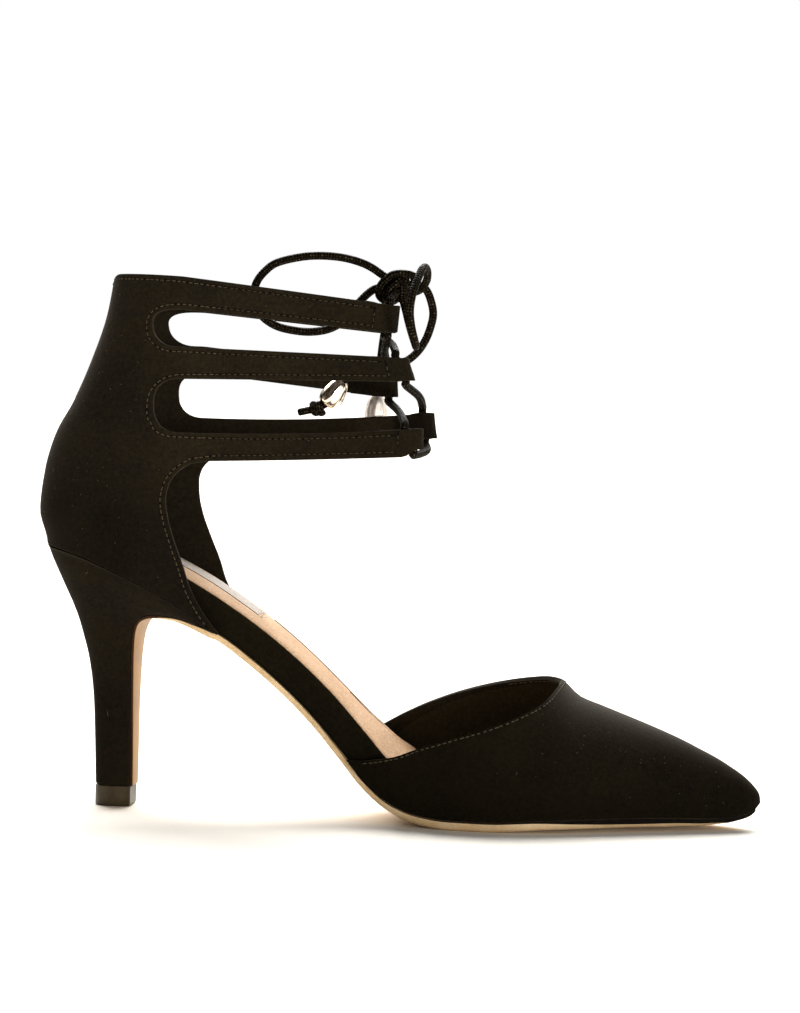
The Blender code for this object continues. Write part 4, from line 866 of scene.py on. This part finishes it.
def vamp_start(across):
    name = SIDE_NAME[LATERAL if across < 0 else MEDIAL]
    low, high = TOPLINE_ROWS[0][0], THROAT_X
    for _ in range(40):
        middle = (low + high) / 2
        if vamp_point(middle, across)[2] > TOPLINE[name](middle):
            low = middle
        else:
            high = middle
    return (low + high) / 2


def vamp_normal(x, across):
    x = min(x, TOE_TIP - 0.05)
    over = vamp_point(x, min(across + 0.01, 1.0)) - vamp_point(x, max(across - 0.01, -1.0))
    ahead = vamp_point(x + 0.02, across) - vamp_point(x - 0.02, across)
    return facing(np.cross(ahead, over), vamp_point(x, across) - vec(x, swing(x), feather(x)))


def build_vamp(along=64, across=44):
    lines = [math.copysign(abs(v) ** 0.9, v) for v in np.linspace(-1, 1, 2 * across - 1)]
    outside, inside = [], []
    for v in lines:
        start = vamp_start(v)
        for s in np.linspace(0, 1, along)[:-1]:
            x = start + (TOE_TIP - start) * (1 - (1 - s) ** 2)
            out = vamp_point(x, v)
            into = out - VAMP_WALL * vamp_normal(x, v)
            if abs(v) == 1:
                into[2] = out[2]
            outside.append(out)
            inside.append(into)
    tip = vamp_point(TOE_TIP, 0.0)
    points = outside + inside + [tip, tip - vec(1.5 * VAMP_WALL, 0, 0)]
    rows, last = len(lines), along - 1
    layer = rows * last
    faces, kinds = [], []
    for sheet in range(2):
        for i in range(rows - 1):
            for j in range(last):
                a = sheet * layer + i * last + j
                end = (a + 1, a + last + 1) if j < last - 1 else (2 * layer + sheet,)
                faces.append((a, *end, a + last))
                kinds.append(2 if sheet and j == 0 else sheet)
    for i in range(rows - 1):
        a = i * last
        faces.append((a, a + last, a + last + layer, a + layer))
        kinds.append(2)
    for i in (0, rows - 1):
        for j in range(last - 1):
            a = i * last + j
            faces.append((a, a + 1, a + 1 + layer, a + layer))
        a = i * last + last - 1
        faces.append((a, 2 * layer, 2 * layer + 1, a + layer))
    kinds += [0] * (len(faces) - len(kinds))
    # the rim faces take the edge colour that is painted paler for light
    materials = [SUEDE["vamp_suede"], PLAIN["black_lining"], PLAIN["cut_edge_painted_light"]]
    piece = add_piece("vamp_upper", (points, faces), materials, ["vamp"], kinds, UPPER_SHARP)
    soften(piece, 0.3, 3)


def vamp_row():
    """The row of stitches along the vamp's topline, as points and normals."""
    row = []
    for v in np.linspace(-0.965, 0.965, 240):
        x = vamp_start(v)
        edge = vamp_point(x, v)
        ahead = unit(vamp_point(x + VAMP_STITCH_MARGIN, v) - edge)
        row.append((edge + ahead * VAMP_STITCH_MARGIN, vamp_normal(x, v)))
    return row


def throat_row():
    """The row of stitches inside the throat, as points and normals."""
    row = []
    for v in np.linspace(-0.2, 0.5, 60):
        x = vamp_start(v) + VAMP_STITCH_MARGIN
        normal = vamp_normal(x, v)
        row.append((vamp_point(x, v) - VAMP_WALL * normal, -normal))
    return row


# Quarter

def quarter_share(x, z):
    """Whether x is behind the widest place at z, and its share of the way from there to that end."""
    widest = QUARTER["widest"](z)
    behind = x < widest
    end = QUARTER["back" if behind else "front"](z)
    return behind, min((x - widest) / (end - widest), 1.0)


def quarter_half(side, x, z):
    behind, share = quarter_share(x, z)
    power = BACK_POWER if behind else FRONT_POWER
    return QUARTER[SIDE_NAME[side]](z) * (1 - share ** (2 / power)) ** (power / 2)


def quarter_point(girth, z):
    side = LATERAL if girth < 0 else MEDIAL
    turn = abs(girth)
    widest, half = QUARTER["widest"](z), QUARTER[SIDE_NAME[side]](z)
    if turn < BACK_SPAN:
        angle = turn / BACK_SPAN * math.pi / 2
        x = widest - (widest - QUARTER["back"](z)) * math.cos(angle) ** BACK_POWER
        y = half * math.sin(angle) ** BACK_POWER
    else:
        angle = min((turn - BACK_SPAN) / FRONT_SPAN, 1.0) * math.pi / 2
        x = widest + (QUARTER["front"](z) - widest) * math.sin(angle) ** FRONT_POWER
        y = half * max(math.cos(angle), 0.0) ** FRONT_POWER
    return vec(x, side * y, z)


def girth_at(side, x, z):
    behind, share = quarter_share(x, z)
    if behind:
        return side * BACK_SPAN * math.acos(share ** (1 / BACK_POWER)) / (math.pi / 2)
    return side * (BACK_SPAN + FRONT_SPAN * math.asin(share ** (1 / FRONT_POWER)) / (math.pi / 2))


def quarter_steps(girth, z):
    around = quarter_point(girth + SLOPE_STEP, z) - quarter_point(girth - SLOPE_STEP, z)
    upward = quarter_point(girth, z + SLOPE_STEP) - quarter_point(girth, z - SLOPE_STEP)
    return around, upward


def quarter_normal(girth, z, level=False):
    ahead, rise = quarter_steps(girth, z)
    if abs(girth) < 2 * SLOPE_STEP:
        ahead = vec(0.0, 1.0, 0.0)
    if level:
        rise = vec(0.0, 0.0, 1.0)
    return facing(np.cross(ahead, rise), quarter_point(girth, z) - vec(QUARTER["widest"](z), 0.0, z))


def on_quarter(girth, z):
    return quarter_point(girth, z), quarter_normal(girth, z)


STRAPS = {side: [dict(zip(STRAP_COLUMNS, row)) for row in STRAP_ROWS[side]] for side in SIDES}
for strap in STRAPS[LATERAL] + STRAPS[MEDIAL]:
    strap["middle"] = (strap["low_tip"] + strap["high_tip"]) / 2


def fold_x(side, row, z):
    sizes = STRAPS[side][row]
    share = min(max((sizes["middle"] - z) / ((sizes["high_tip"] - sizes["low_tip"]) / 2), -1.0), 1.0)
    return sizes["tip"] - FOLD_RADIUS + sizes["slant"] * share


def strap_edge(side, row, edge, x):
    sizes = STRAPS[side][row]
    root, tip = sizes[edge + "_root"], sizes[edge + "_tip"]
    fold = fold_x(side, row, tip)
    share = min(max((x - STRAP_ROOT) / (fold - STRAP_ROOT), 0.0), 1.0)
    z = root + (tip - root) * share - sizes[edge + "_sag"] * 4 * share * (1 - share)
    return z + sizes["corner"] * blend(-CORNER_LENGTH, 0.0, x - fold) if edge == "low" else z


def quarter_wrap(girth, z, depth):
    """A place in the wall at a depth from its outside, with the strap ends folded back."""
    side = LATERAL if girth < 0 else MEDIAL
    row = min(range(3), key=lambda i: abs(STRAPS[side][i]["middle"] - z))
    start = girth_at(side, fold_x(side, row, z), z)
    past = abs(girth) - abs(start)
    if past <= 0 or quarter_point(girth, z)[0] < STRAP_ROOT:
        return quarter_point(girth, z) - depth * quarter_normal(girth, z)
    turn = math.pi * FOLD_RADIUS
    if past < turn:
        out = quarter_normal(start, z, level=True)
        ahead = np.cross(out, (0.0, 0.0, 1.0))
        ahead = ahead if ahead[0] > 0 else -ahead
        angle = past / FOLD_RADIUS
        centre = quarter_point(start, z) - FOLD_RADIUS * out
        return centre + (FOLD_RADIUS - depth) * (ahead * math.sin(angle) + out * math.cos(angle))
    back = past - turn
    spread = 2 * FOLD_RADIUS
    spread += (2 * QUARTER_WALL + GAP - spread) * blend(POCKET_LENGTH, POCKET_LENGTH + NECK_LENGTH, back)
    place = start - side * back
    return quarter_point(place, z) - (spread - depth) * quarter_normal(place, z, level=True)


def seat_height(girth):
    z = 75.0
    for _ in range(30):
        z = feather(quarter_point(girth, z)[0]) + GAP
    return z


def strap_outline(side, row, edge, low_x):
    """One edge of a strap as girths and heights, and how many of its points a row of stitches follows."""
    tip = fold_x(side, row, STRAPS[side][row][edge + "_tip"])
    points = []
    for x in np.linspace(low_x, tip, 44):
        z = strap_edge(side, row, edge, x)
        points.append((girth_at(side, x, z), z))
    straight = sum(x < tip - SEAM_BACK for x in np.linspace(low_x, tip, 44))
    girth, z = points[-1]
    for i in range(1, 15):
        points.append((girth + side * math.pi * FOLD_RADIUS * i / 14, z))
    girth = points[-1][0]
    for i in range(1, 11):
        back = FLAP_LENGTH * i / 10
        points.append((girth + side * back, strap_edge(side, row, edge, tip - back)))
    return points, straight


def signed_power(value, power):
    return math.copysign(abs(value) ** power, value)


def slot_outline(side, row):
    x = SLOT_ENDS[side][row] + SLOT_ROUND
    high, low = strap_edge(side, row, "low", x), strap_edge(side, row + 1, "high", x)
    points = []
    for angle in np.linspace(0.5, 1.5, 25)[1:-1] * math.pi:
        px = x + SLOT_ROUND * signed_power(math.cos(angle), SLOT_POWER)
        px -= 2 * SLOT_LEAN[row] * math.sin(angle) * abs(math.cos(angle))
        pz = (high + low) / 2 + (high - low) / 2 * signed_power(math.sin(angle), SLOT_POWER)
        points.append((girth_at(side, px, pz), pz))
    return points


def side_outline(side):
    """The front outline of one side, and the chains of it that carry a row of stitches."""
    points, chain, chains = [], [], []
    back = QUARTER["back"](CUFF_TOP - CUFF_DIP)
    for step in np.linspace(0, 1, 37)[:-1]:
        x = back + (STRAP_ROOT - back) * step ** 2
        share = max((x - CUFF_BACK) / (STRAP_ROOT - CUFF_BACK), 0.0) ** 2
        z = CUFF_TOP + (STRAPS[side][0]["high_root"] - CUFF_TOP) * share
        z -= CUFF_DIP * max(1 - (x - back) / CUFF_DIP_LENGTH, 0.0) ** 2
        chain.append((girth_at(side, x, z), z))
    points += chain
    starts = [STRAP_ROOT] + [end + SLOT_ROUND for end in SLOT_ENDS[side]] + [COUNTER_TO_STRAP[side]]
    for row in range(3):
        high, straight = strap_outline(side, row, "high", starts[row])
        chains.append(chain + high[:straight])
        low, straight = strap_outline(side, row, "low", starts[row + 1])
        chain = low[:straight][::-1]
        points += high + low[::-1]
        if row < 2:
            end = slot_outline(side, row)
            chain = chain + end
            points += end
    front = []
    for z in np.linspace(COUNTER_ROWS[-1][0], COUNTER_ROWS[0][0] + 1.0, 40):
        x = COUNTER[SIDE_NAME[side]](z)
        if z > feather(x) + GAP + 1.2:
            front.append((girth_at(side, x, z), z))
    chains.append(chain + front)
    return points + front, chains


def quarter_outline():
    lateral, lateral_chains = side_outline(LATERAL)
    medial, medial_chains = side_outline(MEDIAL)
    ends = []
    for side in SIDES:
        x = COUNTER[SIDE_NAME[side]](COUNTER_ROWS[0][0])
        ends.append(girth_at(side, x, feather(x)))
    seat = [(girth, seat_height(girth)) for girth in np.linspace(*ends, 100)]
    return lateral + seat + medial[::-1][:-1], {LATERAL: lateral_chains, MEDIAL: medial_chains}


def inside_outline(ring, point, margin):
    px, pz = point
    nxt = np.roll(ring, -1, axis=0)
    crossing = (ring[:, 1] > pz) != (nxt[:, 1] > pz)
    run = np.where(crossing, nxt[:, 1] - ring[:, 1], 1.0)
    at = ring[:, 0] + (pz - ring[:, 1]) / run * (nxt[:, 0] - ring[:, 0])
    if np.count_nonzero(crossing & (px < at)) % 2 == 0:
        return False
    edge = nxt - ring
    share = ((np.array(point) - ring) * edge).sum(axis=1) / np.maximum((edge ** 2).sum(axis=1), 1e-9)
    near = ring + np.clip(share, 0, 1)[:, None] * edge - np.array(point)
    return float((near ** 2).sum(axis=1).min()) > margin * margin


def build_quarter(spacing=2.6):
    outline, chains = quarter_outline()
    ring = np.array(outline)
    flat = [tuple(p) for p in outline]
    for girth in np.arange(-128.0, 128.1, spacing):
        for z in np.arange(58.0, 172.5, spacing):
            if inside_outline(ring, (girth, z), 1.5):
                flat.append((girth, z))
    count = len(outline)
    edges = [(i, (i + 1) % count) for i in range(count)]
    places, _, triangles, *_ = delaunay_2d_cdt([Vector(p) for p in flat], edges, [], 1, 1e-5)
    points = [quarter_wrap(p[0], p[1], depth) for depth in (0.0, QUARTER_WALL) for p in places]
    layer = len(places)
    faces = [tuple(t) for t in triangles] + [tuple(i + layer for i in reversed(t)) for t in triangles]
    kinds = [0] * len(triangles) + [1] * len(triangles)
    seen = {}
    for t in triangles:
        for i in range(len(t)):
            pair = (t[i], t[(i + 1) % len(t)])
            seen[tuple(sorted(pair))] = None if tuple(sorted(pair)) in seen else pair
    for a, b in filter(None, seen.values()):
        faces.append((b, a, a + layer, b + layer))
        kinds.append(2)
    # the rim faces take the edge colour that is painted paler for light
    materials = [SUEDE["quarter_suede"], PLAIN["cuff_lining"], PLAIN["cut_edge_painted_light"]]
    piece = add_piece("quarter_upper", (points, faces), materials, ["quarter"], kinds,
                      UPPER_SHARP)
    soften(piece, 0.3)
    return ring, chains


# Stitches and lint

def inset_chain(chain, side, margin):
    """A chain of the outline moved inwards on the outside of the wall, as points and normals."""
    places = [quarter_wrap(g, z, 0.0) for g, z in chain]
    row = []
    for i, (girth, z) in enumerate(chain):
        along = places[min(i + 1, len(places) - 1)] - places[max(i - 1, 0)]
        if np.linalg.norm(along) < 1e-6:
            continue
        into = unit(np.cross(quarter_normal(girth, z), along) * side)
        around, upward = (step / (2 * SLOPE_STEP) for step in quarter_steps(girth, z))
        g = girth + margin * (into @ around) / (around @ around)
        h = z + margin * (into @ upward) / (upward @ upward)
        row.append(on_quarter(g, h))
    return row


def tunnel_seams(side):
    """Rows of stitches across each strap, behind its lace tunnel."""
    rows = []
    for row, sizes in enumerate(STRAPS[side]):
        low, high = sizes["low_tip"] + sizes["corner"] + 0.8, sizes["high_tip"] - 0.8
        rows.append([on_quarter(girth_at(side, fold_x(side, row, z) - SEAM_BACK, z), z)
                     for z in np.linspace(low, high, 12)])
    return rows


def add_thread(points, faces, centre, along, normal, length, width, height):
    """Adds one short rounded stitch lying on a surface."""
    side = np.cross(normal, along)
    faces += ring_faces(len(THREAD_SHAPE), 6, len(points))
    for share, size in THREAD_SHAPE:
        for j in range(6):
            angle = 2 * math.pi * j / 6
            points.append(tuple(centre + along * share * length + side * math.cos(angle) * width * size
                                + normal * (math.sin(angle) * height * size + THREAD_LIFT)))


def sew(rows, chance):
    points, faces, kinds = [], [], []
    for row in rows:
        line, normals = (np.array(values) for values in zip(*row))
        run = run_of(line)
        for s in np.arange(STITCH_PITCH * 0.6, run[-1] - STITCH_LENGTH, STITCH_PITCH):
            s += chance.uniform(-0.2, 0.2)
            start, middle, end = (at_run(line, run, s + STITCH_LENGTH * share) for share in (-0.5, 0, 0.5))
            normal = unit(at_run(normals, run, s))
            along = end - start
            along = unit(along - normal * (along @ normal))
            length = STITCH_LENGTH * chance.uniform(0.8, 1.1)
            add_thread(points, faces, middle, along, normal, length, STITCH_WIDTH / 2, STITCH_HEIGHT)
            dark = CUFF_END < middle[0] and middle[2] > STRAP_FOOT
            kinds += [1 if dark else 0] * (len(faces) - len(kinds))
    return points, faces, kinds


def groove_shade_rows(rows):
    """Painted shade of the sunk line that each row of stitches pulls into the suede, as flat dark ribbons."""
    points, faces = [], []
    for row in rows:
        along = np.gradient(np.array([p for p, _ in row]), axis=0)
        base = len(points)
        for i, (place, normal) in enumerate(row):
            side = np.cross(normal, along[i])
            side *= GROOVE_SHADE_WIDTH / 2 / max(np.linalg.norm(side), 1e-9)
            lifted = place + normal * THREAD_LIFT
            points += [tuple(lifted - side), tuple(lifted + side)]
        for a in range(base, base + 2 * len(row) - 2, 2):
            faces.append((a, a + 1, a + 3, a + 2))
    return points, faces


def scatter_lint(ring, chance):
    points, faces, spots = [], [], []
    while len(spots) < CUFF_LINT:
        girth, z = chance.uniform(-70.0, -6.0), chance.uniform(60.0, 170.0)
        if inside_outline(ring, (girth, z), 2.0):
            spots.append((*on_quarter(girth, z), chance.uniform(*LINT_LENGTH)))
    for _ in range(VAMP_LINT):
        v = chance.uniform(-0.9, -0.05)
        x = chance.uniform(vamp_start(v) + 3.0, 108.0)
        spots.append((vamp_point(x, v), vamp_normal(x, v), chance.uniform(*LINT_LENGTH)))
    for x, z, size in CUFF_THREADS:
        spots.append((*on_quarter(girth_at(LATERAL, x, z), z), size))
    place, size = HEEL_THREAD
    spots.append((vec(*place), vec(0.0, -1.0, 0.0), size))
    for place, normal, size in spots:
        along = unit(np.cross(normal, [chance.uniform(-1, 1) for _ in range(3)]))
        add_thread(points, faces, place, along, normal, size, *LINT_SECTION)
    return points, faces


def build_stitches(ring, chains):
    chance = random.Random(11)
    rows = [vamp_row()]
    for side in SIDES:
        rows += [inset_chain(chain, side, STITCH_MARGIN) for chain in chains[side]] + tunnel_seams(side)
    *shape, kinds = sew(rows, chance)
    add_piece("stitches", shape, [PLAIN["thread"], PLAIN["dark_thread"]], kinds=kinds)
    *shape, _ = sew([throat_row()], chance)
    add_piece("throat_stitches", shape, [PLAIN["pale_thread"]])
    # painted shade: dark ribbons where the stitches sink the suede
    add_piece("stitch_groove_shade", groove_shade_rows(rows), [PLAIN["groove_shade"]])
    add_piece("lint_specks", scatter_lint(ring, chance), [PLAIN["lint"]])


# Lace

def from_knot(*offset):
    return vec(*KNOT_CENTRE) + vec(*offset)


def tunnel_mouth(side, row, end):
    sizes = STRAPS[side][row]
    z = sizes["high_tip"] if end == "high" else sizes["low_tip"] + sizes["corner"]
    middle = sizes["middle"]
    place = girth_at(side, fold_x(side, row, z), middle) - side * sizes["back_" + end]
    x, y, _ = quarter_point(place, middle) - FOLD_RADIUS * quarter_normal(place, middle, level=True)
    return vec(x, y, z)


def lace_route():
    """The lace through all six tunnels, from the knot's near side round to its far side."""
    route = [from_knot(0.0, LATERAL * KNOT_ENTRY[0], KNOT_ENTRY[1])]
    for i, (side, row, way) in enumerate(LACE_ORDER):
        ends = ("high", "low") if way < 0 else ("low", "high")
        first, second = (tunnel_mouth(side, row, end) for end in ends)
        straight = vec(0.0, 0.0, 1.0) * way * TUNNEL_RUN
        route += [first - straight, first, second, second + straight]
        if i == len(LACE_ORDER) - 1:
            break
        next_side, next_row, next_way = LACE_ORDER[i + 1]
        mouth = tunnel_mouth(next_side, next_row, "high" if next_way < 0 else "low")
        bow = (CROSS_BOW[(next_row, next_side) if way < 0 else (row, side)], 0.0, 0.0)
        if row == next_row:
            route[-1] = second - vec(0.0, 0.0, BAR_DROP)
            bow = BAR_BOW
        route.append((second + mouth) / 2 + vec(*bow))
    return route + [from_knot(0.0, MEDIAL * KNOT_ENTRY[0], KNOT_ENTRY[1])]


def end_turn(centre, axis):
    """The turn of an end knot, about the cord."""
    axis = unit(axis)
    first = vec(*TURN_START)
    first = unit(first - axis * (first @ axis))
    second = np.cross(axis, first)
    line = []
    for t in np.linspace(*TURN_SPAN, 40):
        angle = 2 * math.pi * t
        line.append(centre + axis * (t - 0.5) * TURN_PITCH
                    + TURN_RADIUS * first * math.cos(angle) + TURN_RADIUS * second * math.sin(angle))
    return np.array(line)


def knot_core(rows=12, columns=20):
    """The cord buried in the middle of the knot, as a plain lump."""
    points, uv = [], []
    for i in range(rows + 1):
        tilt = math.pi * (i + 0.2) / (rows + 0.4)
        for j in range(columns):
            turn = 2 * math.pi * j / columns
            way = (math.sin(tilt) * math.cos(turn), math.sin(tilt) * math.sin(turn), math.cos(tilt))
            points.append(tuple(from_knot(*KNOT_CORE) + np.array(KNOT_CORE_RADII) * way))
            uv.append((i * 0.6, j / columns))
    return points, ring_faces(rows + 1, columns), uv


def free_cord(name, route, node):
    line = route_points(route)
    piece = add_cords(name, [tube_mesh(line)], [node])


def build_bead(name, start, axis):
    first = unit(np.cross(axis, (0.0, 1.0, 0.0)))
    second = np.cross(axis, first)
    rings = []
    for share in np.linspace(0, 1, 22):
        ring = []
        for j in range(48):
            angle = 2 * math.pi * j / 48
            radius = BEAD_SHAPE(share) * (1 + 0.06 * math.cos(8 * angle) * math.sin(math.pi * share))
            ring.append(tuple(start + axis * share * BEAD_LENGTH
                              + radius * (first * math.cos(angle) + second * math.sin(angle))))
        rings.append(ring)
    piece = add_piece("end_bead_" + name, loft(rings), [BEAD[name]], ["lace_bead_" + name],
                      sharp=UPPER_SHARP)
    soften(piece, 0.25)
    return piece


def build_end(name, route):
    """One end of the lace: its cord, its bead and the knot that keeps the bead on."""
    along, stub = unit(BEAD_AXES[name]), unit(STUB_AXES[name])
    last = vec(*route[-1])
    start = last + along * 2 * GAP
    bead = build_bead(name, start, along)
    centre = start + along * BEAD_LENGTH + np.array(END_KNOT_OFFSETS[name])
    tail = [start + along * (BEAD_LENGTH - 1.0), centre, centre + stub * 3.0, centre + stub * 6.0]
    lines = (end_turn(centre, stub + np.array(TURN_TILT)), route_points(tail))
    knot = add_cords("end_knot_" + name, [tube_mesh(line, END_CORD_RADIUS) for line in lines],
                     ["lace_end_knot_" + name])
    line = [from_knot(*END_FEET[name]), *route[:-1], last + along * 0.3]
    free_cord("end_cord_" + name, line, "lace_end_" + name)


def build_lace():
    crossings = [f"lace_cross_{level}_{side}" for level in ("lower", "upper") for side in ("near", "far")]
    add_cords("lace_run", [tube_mesh(route_points(lace_route()))],
              ["lace_bar_bottom", "lace_rise_near", "lace_rise_far", *crossings])
    strands = [route_points([from_knot(*p) for p in strand]) for strand in KNOT_STRANDS]
    add_cords("bow_knot", [tube_mesh(line) for line in strands] + [knot_core()], ["lace_knot"])
    for name, route, before, after in (("back", LOOP_BACK, *BACK_FEET), ("front", LOOP_FRONT, *FRONT_FEET)):
        line = [from_knot(*p) for p in before] + list(route) + [from_knot(*p) for p in after]
        free_cord("bow_loop_" + name, line, "lace_loop_" + name)
    build_end("near", END_NEAR)
    build_end("far", END_FAR)


# Stage

def build_world():
    """A soft white studio: bright above and behind, dim on the camera's side, with a plain white backdrop."""
    world = bpy.data.worlds.new("studio")
    bpy.context.scene.world = world
    world.use_nodes = True
    nodes = Nodes(world.node_tree)
    soft = nodes.tree.nodes["Background"]
    soft.inputs["Color"].default_value = SKY_COLOUR
    white = nodes.node("Background", Color=(1.0, 1.0, 1.0, 1.0), Strength=1.0)
    way = nodes.node("TexCoord").outputs["Generated"]
    levels = [(nodes.ranged(nodes.split(way, axis), 0.0, 1.0, *span), 1) for axis, span in SKY.items()]
    nodes.tree.links.new(nodes.weighted(*levels), soft.inputs["Strength"])
    seen = nodes.node("LightPath").outputs["Is Camera Ray"]
    mix = nodes.node("MixShader", {0: seen, 1: soft.outputs[0], 2: white.outputs[0]})
    nodes.tree.links.new(mix.outputs[0], nodes.tree.nodes["World Output"].inputs["Surface"])


def add_lamp(name, kind, place, energy, **values):
    light = bpy.data.lights.new(name, kind)
    light.energy = energy
    for key, value in values.items():
        setattr(light, key, value)
    lamp = put(name, light)
    lamp.location = place
    lamp.rotation_euler = (Vector(LAMP_AIM) - Vector(place)).to_track_quat("-Z", "Y").to_euler()


def build_stage():
    scene = bpy.context.scene
    scene.view_settings.view_transform = "Standard"
    scene.view_settings.look = "None"
    mesh = bpy.data.meshes.new("floor")
    corners = [(x * FLOOR_SIZE, y * FLOOR_SIZE, 0) for x, y in ((-1, -1), (1, -1), (1, 1), (-1, 1))]
    mesh.from_pydata(corners, [], [(0, 1, 2, 3)])
    mesh.materials.append(Paint("floor_white", FLOOR_COLOUR, 0.8, Specular_IOR_Level=0.05).material)
    put("floor", mesh)
    build_world()
    add_lamp("key_sun", "SUN", SUN_FROM, SUN_POWER, angle=math.radians(SUN_ANGLE))
    add_lamp("front_fill", "AREA", FILL_FROM, FILL_POWER, size=FILL_SIZE)


def build_camera():
    a, e, r = (math.radians(v) for v in (AZIMUTH, ELEVATION, ROLL))
    back = Vector((math.sin(a) * math.cos(e), -math.cos(a) * math.cos(e), math.sin(e)))
    level = Vector((math.cos(a), math.sin(a), 0.0))
    rise = back.cross(level)
    right = level * math.cos(r) + rise * math.sin(r)
    up = back.cross(right)
    lens = bpy.data.cameras.new("photo_camera")
    lens.lens = LENS
    lens.sensor_width = SENSOR
    camera = put("photo_camera", lens)
    place = (Vector(TARGET) + back * DISTANCE) * MM
    turn = Matrix((right, up, back)).transposed().to_4x4()
    camera.matrix_world = Matrix.Translation(place) @ turn
    bpy.context.scene.camera = camera


def main():
    build_sole()
    build_heel()
    build_footbed()
    build_vamp()
    build_stitches(*build_quarter())
    build_lace()
    build_stage()
    build_camera()


main()
